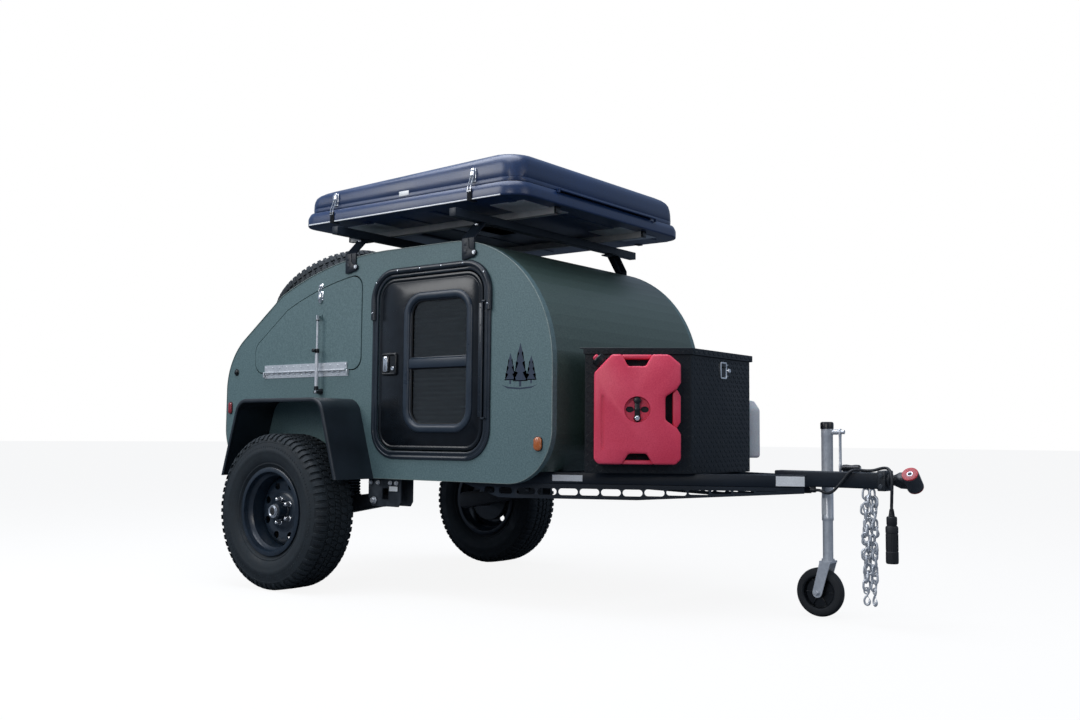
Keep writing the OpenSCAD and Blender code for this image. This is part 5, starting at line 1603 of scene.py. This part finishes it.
piece("fuel_can_lock_and_cap", handle_mesh, black_abs, "chassis", "fuel_can")
tip_mesh = bmesh.new()
turned(tip_mesh, [(0, 36), (13, 36), (13, 45), (10, 49), (0, 50)], 28, on_side_sheet @ cap_place)
piece("fuel_can_cap_tip", tip_mesh, red_polyethylene, "chassis", "fuel_can")
key_mesh = bmesh.new()
turned(key_mesh, [(0, 90), (9.5, 90), (9.5, 94), (8, 95.4), (2, 95.4), (1.4, 94), (0, 94)], 28,
       on_side_sheet @ outward(0, 0, 805))
piece("fuel_can_key_barrel", key_mesh, chrome, "chassis", "fuel_can")

water_mesh = bmesh.new()
prism(water_mesh, [(-170, 640), (170, 640), (170, 862), (120, 902), (-110, 902), (-170, 842)],
      -75, -0.4, bevel=14, steps=4)
for z in (700, 760, 820):
    block(water_mesh, (-140, -77.5, z - 9), (140, -70, z + 9), bevel=5, steps=3)
turned(water_mesh, [(0, 74), (22, 74), (22, 82), (0, 84)], 32, outward(0, 0, 770))
rod(water_mesh, 30, -1, 12, 24, outward(0, 12, 770))
turned(water_mesh, [(0, -8), (22, -8), (22, 20), (19, 23), (0, 23)], 32,
       shift(-140, -38, 868)
       @ Vector((-0.7, 0, 0.7)).to_track_quat("Z", "Y").to_matrix().to_4x4())
put(water_mesh, on_side_sheet)
piece("water_can_shell", water_mesh, white_polyethylene, "chassis", "water_can", whole=True,
      left=True)

# ---- roof rack ----
# Two square steel bars with plastic end caps on folded plate brackets, all in black powder coat.
rack_places = (240.0, 987.0)
bar_mesh = bmesh.new()
for x in rack_places:
    prism(bar_mesh, [(x - 17, 1679.2), (x + 17, 1679.2), (x + 19, 1681),
                     (x + 19, 1715), (x + 17, 1717), (x - 17, 1717),
                     (x - 19, 1715), (x - 19, 1681)], -722, 722)
    for s in (-1, 1):
        block(bar_mesh, (x - 18.6, min(s * 720, s * 725), 1679.6),
              (x + 18.6, max(s * 720, s * 725), 1716.6), bevel=1.4)
piece("rack_bar_tubes", bar_mesh, powder_coat, "chassis", "rack_bars", whole=True)


@pair(powder_coat, slot="rack_brackets", whole=True)
def rack_bracket(bm):
    for x in rack_places:
        section = [(-610.1, 1513), (-616.8, 1511), (-617.2, 1600), (-541, 1679), (-480, 1679),
                   (-480, 1672), (-536, 1672), (-610.1, 1599)]
        lofted(bm, [[(px, y, z) for y, z in section] for px in (x - 38, x + 32)], bevel=1.2)
        foot = [(x - 36, 1505), (x - 14, 1505), (x + 30, 1516), (x + 44, 1522), (x + 47, 1534),
                (x + 40, 1544), (x + 14, 1546), (x + 4, 1560), (x + 2, 1600), (x - 38, 1600)]
        prism(bm, foot, -619.6, -610.1, bevel=1.5)
        for z in (1575, 1540):
            block(bm, (x - 26, -620.6, z - 9), (x - 10, -619.4, z + 9), bevel=0.6)
        prism(bm, [(-610, 1600), (-606, 1592), (-540, 1664), (-552, 1668)], x - 6, x + 2, "x")


@pair(bright_zinc, slot="rack_brackets")
def bracket_bolts(bm):
    spots = [outward(x + 34, -619.6, 1533, 0.3) for x in rack_places]
    spots += [facing((x - 3, -560, 1671.8), (0, 0, -1)) for x in rack_places]
    repeated(bm, hex_bolt(13, 5, 1.4), spots, bright_zinc)


# ---- roof tent ----
# A glossy navy hard shell in two halves, held by over-centre latches, on two aluminium channels.
# The lid hinges at the nose end; a foam mattress fills the tray.
# Shell: navy ABS under a clear gloss, with a faint leather grain.
navy_shell = coating("navy_shell", "#12284b", "#18325a", 7, (0.3, 0.42), 0.1, patch=320,
                     Coat_Weight=0.15, Coat_Roughness=0.3)
tent_back, tent_front, tent_half = -60.0, 1319.0, 690.0
latch_places = (182, 1055)


def tent_plan(inset, z, r):
    loop = rounded(tent_back, -tent_half, tent_front - tent_back + 1, 2 * tent_half, r + inset,
                   inset, steps=12)
    return [(x, y, z) for x, _, y in loop]


def tent_loops(levels):
    return [tent_plan(inset, z, r) for inset, z, r in levels]


on_tent_hinge = shift(1327, 0, 1812) @ lying
tray_mesh = bmesh.new()
lofted(tray_mesh, tent_loops([(8, 1748, 102), (3, 1749, 107), (0.6, 1752, 109), (0, 1757, 110),
                              (0, 1784, 110), (3, 1793, 107), (11, 1808, 99), (13, 1810, 97),
                              (15, 1810, 95), (18, 1807, 92), (18, 1768, 92), (20, 1766, 90)]))
for k in range(6):
    x = 90 + 220 * k
    if all(abs(x - bar) > 60 for bar in rack_places):
        block(tray_mesh, (x - 22, -600, 1744.6), (x + 22, -385, 1749), bevel=2)
        block(tray_mesh, (x - 22, 385, 1744.6), (x + 22, 600, 1749), bevel=2)
        block(tray_mesh, (x - 22, -335, 1744.6), (x + 22, 335, 1749), bevel=2)
rod(tray_mesh, 2.5, -410, 410, 12, on_tent_hinge)
for y in (-410, 401):
    block(tray_mesh, (1315, y, 1798), (1329, y + 9, 1815), bevel=0.8)
piece("tent_tray_shell", tray_mesh, navy_shell, "chassis", "tent_tray", whole=True, smooth=40)

lid_levels = [(28, 1815, 92), (25.6, 1816, 92), (25, 1820, 92), (25, 1832, 90), (25.6, 1833, 90),
              (25.6, 1834.4, 90), (25, 1835.4, 90), (26, 1868, 90), (28, 1892, 92), (32, 1912, 94),
              (40, 1926, 96), (52, 1937, 100), (72, 1947, 106), (100, 1956, 112), (140, 1965, 120),
              (190, 1974, 130), (250, 1982, 140), (320, 1989, 150), (400, 1994, 150),
              (480, 1996.4, 150), (560, 1997, 120)]
tent_lid_mesh = bmesh.new()


def sloped_tail(p):
    """The crown falls away over the lid's rear third."""
    share = min(max((p[0] - tent_back) / 560, 0), 1)
    kept = 0.62 + 0.38 * share * share * (3 - 2 * share)
    return (p[0], p[1], p[2] if p[2] < 1845 else 1845 + (p[2] - 1845) * kept)


lofted(tent_lid_mesh, [[sloped_tail(p) for p in loop] for loop in
                       tent_loops([(37, 1870, 84), (37, 1816, 84)] + lid_levels)])
tube_between(tent_lid_mesh, 2.6, 4.5, -398, 398, 20, on_tent_hinge)
block(tent_lid_mesh, (1288, -398, 1815.4), (1328, 398, 1820), bevel=0.8)
piece("tent_lid_shell", tent_lid_mesh, navy_shell, "tent_lid", "tent_lid", whole=True, smooth=40)

gasket_mesh = bmesh.new()
lofted(gasket_mesh, tent_loops([(30, 1809.6, 92), (30, 1813.6, 92), (34, 1814.4, 88),
                                (36, 1809.6, 86)]), wrap=True)
piece("tent_gasket", gasket_mesh, seal_rubber, "chassis", "tent_tray")


# A thin white strip along the tray's lower edge on each side: a painted highlight, standing in for
# the light that catches that edge.
@pair(white_vinyl, slot="tent_tray")
def tent_edge_strip(bm):
    block(bm, (15, -690.7, 1748.6), (1225, -689, 1754.4), bevel=0.4)


@pair(white_vinyl, "tent_lid", "tent_lid")
def tent_label(bm):
    block(bm, (603, -666.2, 1824), (664, -664.8, 1846), bevel=0.3)


@pair(chrome, "tent_lid", "tent_lid")
def tent_latch(bm):
    for x in latch_places:
        block(bm, (x - 15, -668.4, 1828), (x + 15, -664.6, 1888), bevel=1)
        lofted(bm, [[(x - w, y, z), (x + w, y, z), (x + w - 2, y - t, z), (x - w + 2, y - t, z)]
                    for z, w, y, t in ((1838, 9, -668.2, 6), (1846, 12, -668.2, 11),
                                       (1868, 13, -668.2, 13), (1880, 12, -668.2, 11),
                                       (1891, 9, -668.2, 6))], bevel=1.2)
        for s in (-1, 1):
            swept(bm, [(x + s * 8, -676, 1860), (x + s * 8, -683, 1838), (x + s * 8, -695, 1808),
                       (x + s * 8, -697, 1784)], 2, 10)
        rod(bm, 3, -12, 12, 14, facing((x, -676, 1860), (1, 0, 0)))
        rod(bm, 2.4, -11, 11, 14, facing((x, -697, 1785), (1, 0, 0)))
        repeated(bm, dome_screw(3), [outward(x + a, -668.4, z) for a in (-11, 11)
                                     for z in (1832, 1885)], chrome)


@pair(black_abs, slot="tent_tray")
def tent_latch_hook(bm):
    for x in latch_places:
        lofted(bm, [[(px, y, z) for y, z in ((-690.2, 1796), (-694, 1798), (-699, 1790),
                                             (-694.6, 1780), (-694.6, 1744.6), (-655, 1743.4),
                                             (-655, 1747.8), (-690.2, 1747.8))]
                    for px in (x - 13, x + 13)], bevel=1)


# Mill-finish channel: pale grey, dull.
pale_aluminium = coating("pale_aluminium", "#b5b3af", "#cbc9c5", 3, (0.4, 0.55), 0.08, patch=90,
                         Metallic=0.25)


@pair(pale_aluminium, slot="tent_rails", whole=True)
def tent_channel(bm):
    low, high = -374.8, -345.2
    prism(bm, [(low, 1717.2), (high, 1717.2), (high, 1747.8), (high - 7, 1747.8),
               (high - 7, 1742), (low + 7, 1742), (low + 7, 1747.8), (low, 1747.8)],
          -28, 1277, "x")


@pair(black_abs, slot="tent_rails")
def channel_cap(bm):
    for low, high in ((-40, -27), (1276, 1289)):
        block(bm, (low, -375.4, 1717), (high, -344.6, 1748.2), bevel=1.6)


panel_mesh = bmesh.new()
for x in (150, 560, 640, 1060):
    for y in (-560, 200) if x in (150, 1060) else (-300,):
        block(panel_mesh, (x, y, 1744), (x + 190, y + 330, 1748.2), bevel=1)
piece("tent_underside_panels", panel_mesh, satin_aluminium, "chassis", "tent_tray")

# Mattress: foam in quilted grey cotton, tufted on a square grid.
mattress_cloth = weave_material("mattress_cloth", "#7b7d7c", "#a9aaa7", 3.2)
mattress_mesh = bmesh.new()
mattress_low, mattress_high = 1766.6, 1831.0
half_x, half_y = (tent_front - tent_back) / 2 - 44, tent_half - 44
middle_x = (tent_front + tent_back) / 2


def mattress_outline(inset, count=240):
    """The mattress's round-cornered plan, in points at even spacing."""
    corners = [(x, y) for x, _, y in rounded(middle_x - half_x, -half_y, 2 * half_x, 2 * half_y,
                                             66, inset, steps=12)]
    ends = corners[1:] + corners[:1]
    lengths = [dist(p, q) for p, q in zip(corners, ends)]
    found, i, passed = [], 0, 0.0
    for k in range(count):
        wanted = sum(lengths) * k / count
        while passed + lengths[i] < wanted:
            passed += lengths[i]
            i += 1
        t = (wanted - passed) / lengths[i]
        found.append(tuple(u + (v - u) * t for u, v in zip(corners[i], ends[i])))
    return found


def quilted(x, y, z):
    tuft = abs(sin(pi * (x - middle_x) / 150)) * abs(sin(pi * y / 150))
    return (x, y, z - 8 * (1 - tuft ** 0.4))


mattress_loops = []
for k in range(11):
    bulge = 7 * (1 - sin(pi * k / 10) ** 0.5)
    z = mattress_low + (mattress_high - 8 - mattress_low) * k / 10
    mattress_loops.append([(x, y, z) for x, y in mattress_outline(bulge)])
for ring in range(46):
    inset = 8 + (half_y - 12) * ring / 45
    z = mattress_high - 1 - 7 * max(0, 1 - inset / 40) ** 2
    mattress_loops.append([quilted(x, y, z) for x, y in mattress_outline(inset)])
lofted(mattress_mesh, mattress_loops)
mattress = piece("mattress_cover", mattress_mesh, mattress_cloth, "chassis", "tent_mattress",
                 whole=True, smooth=60)
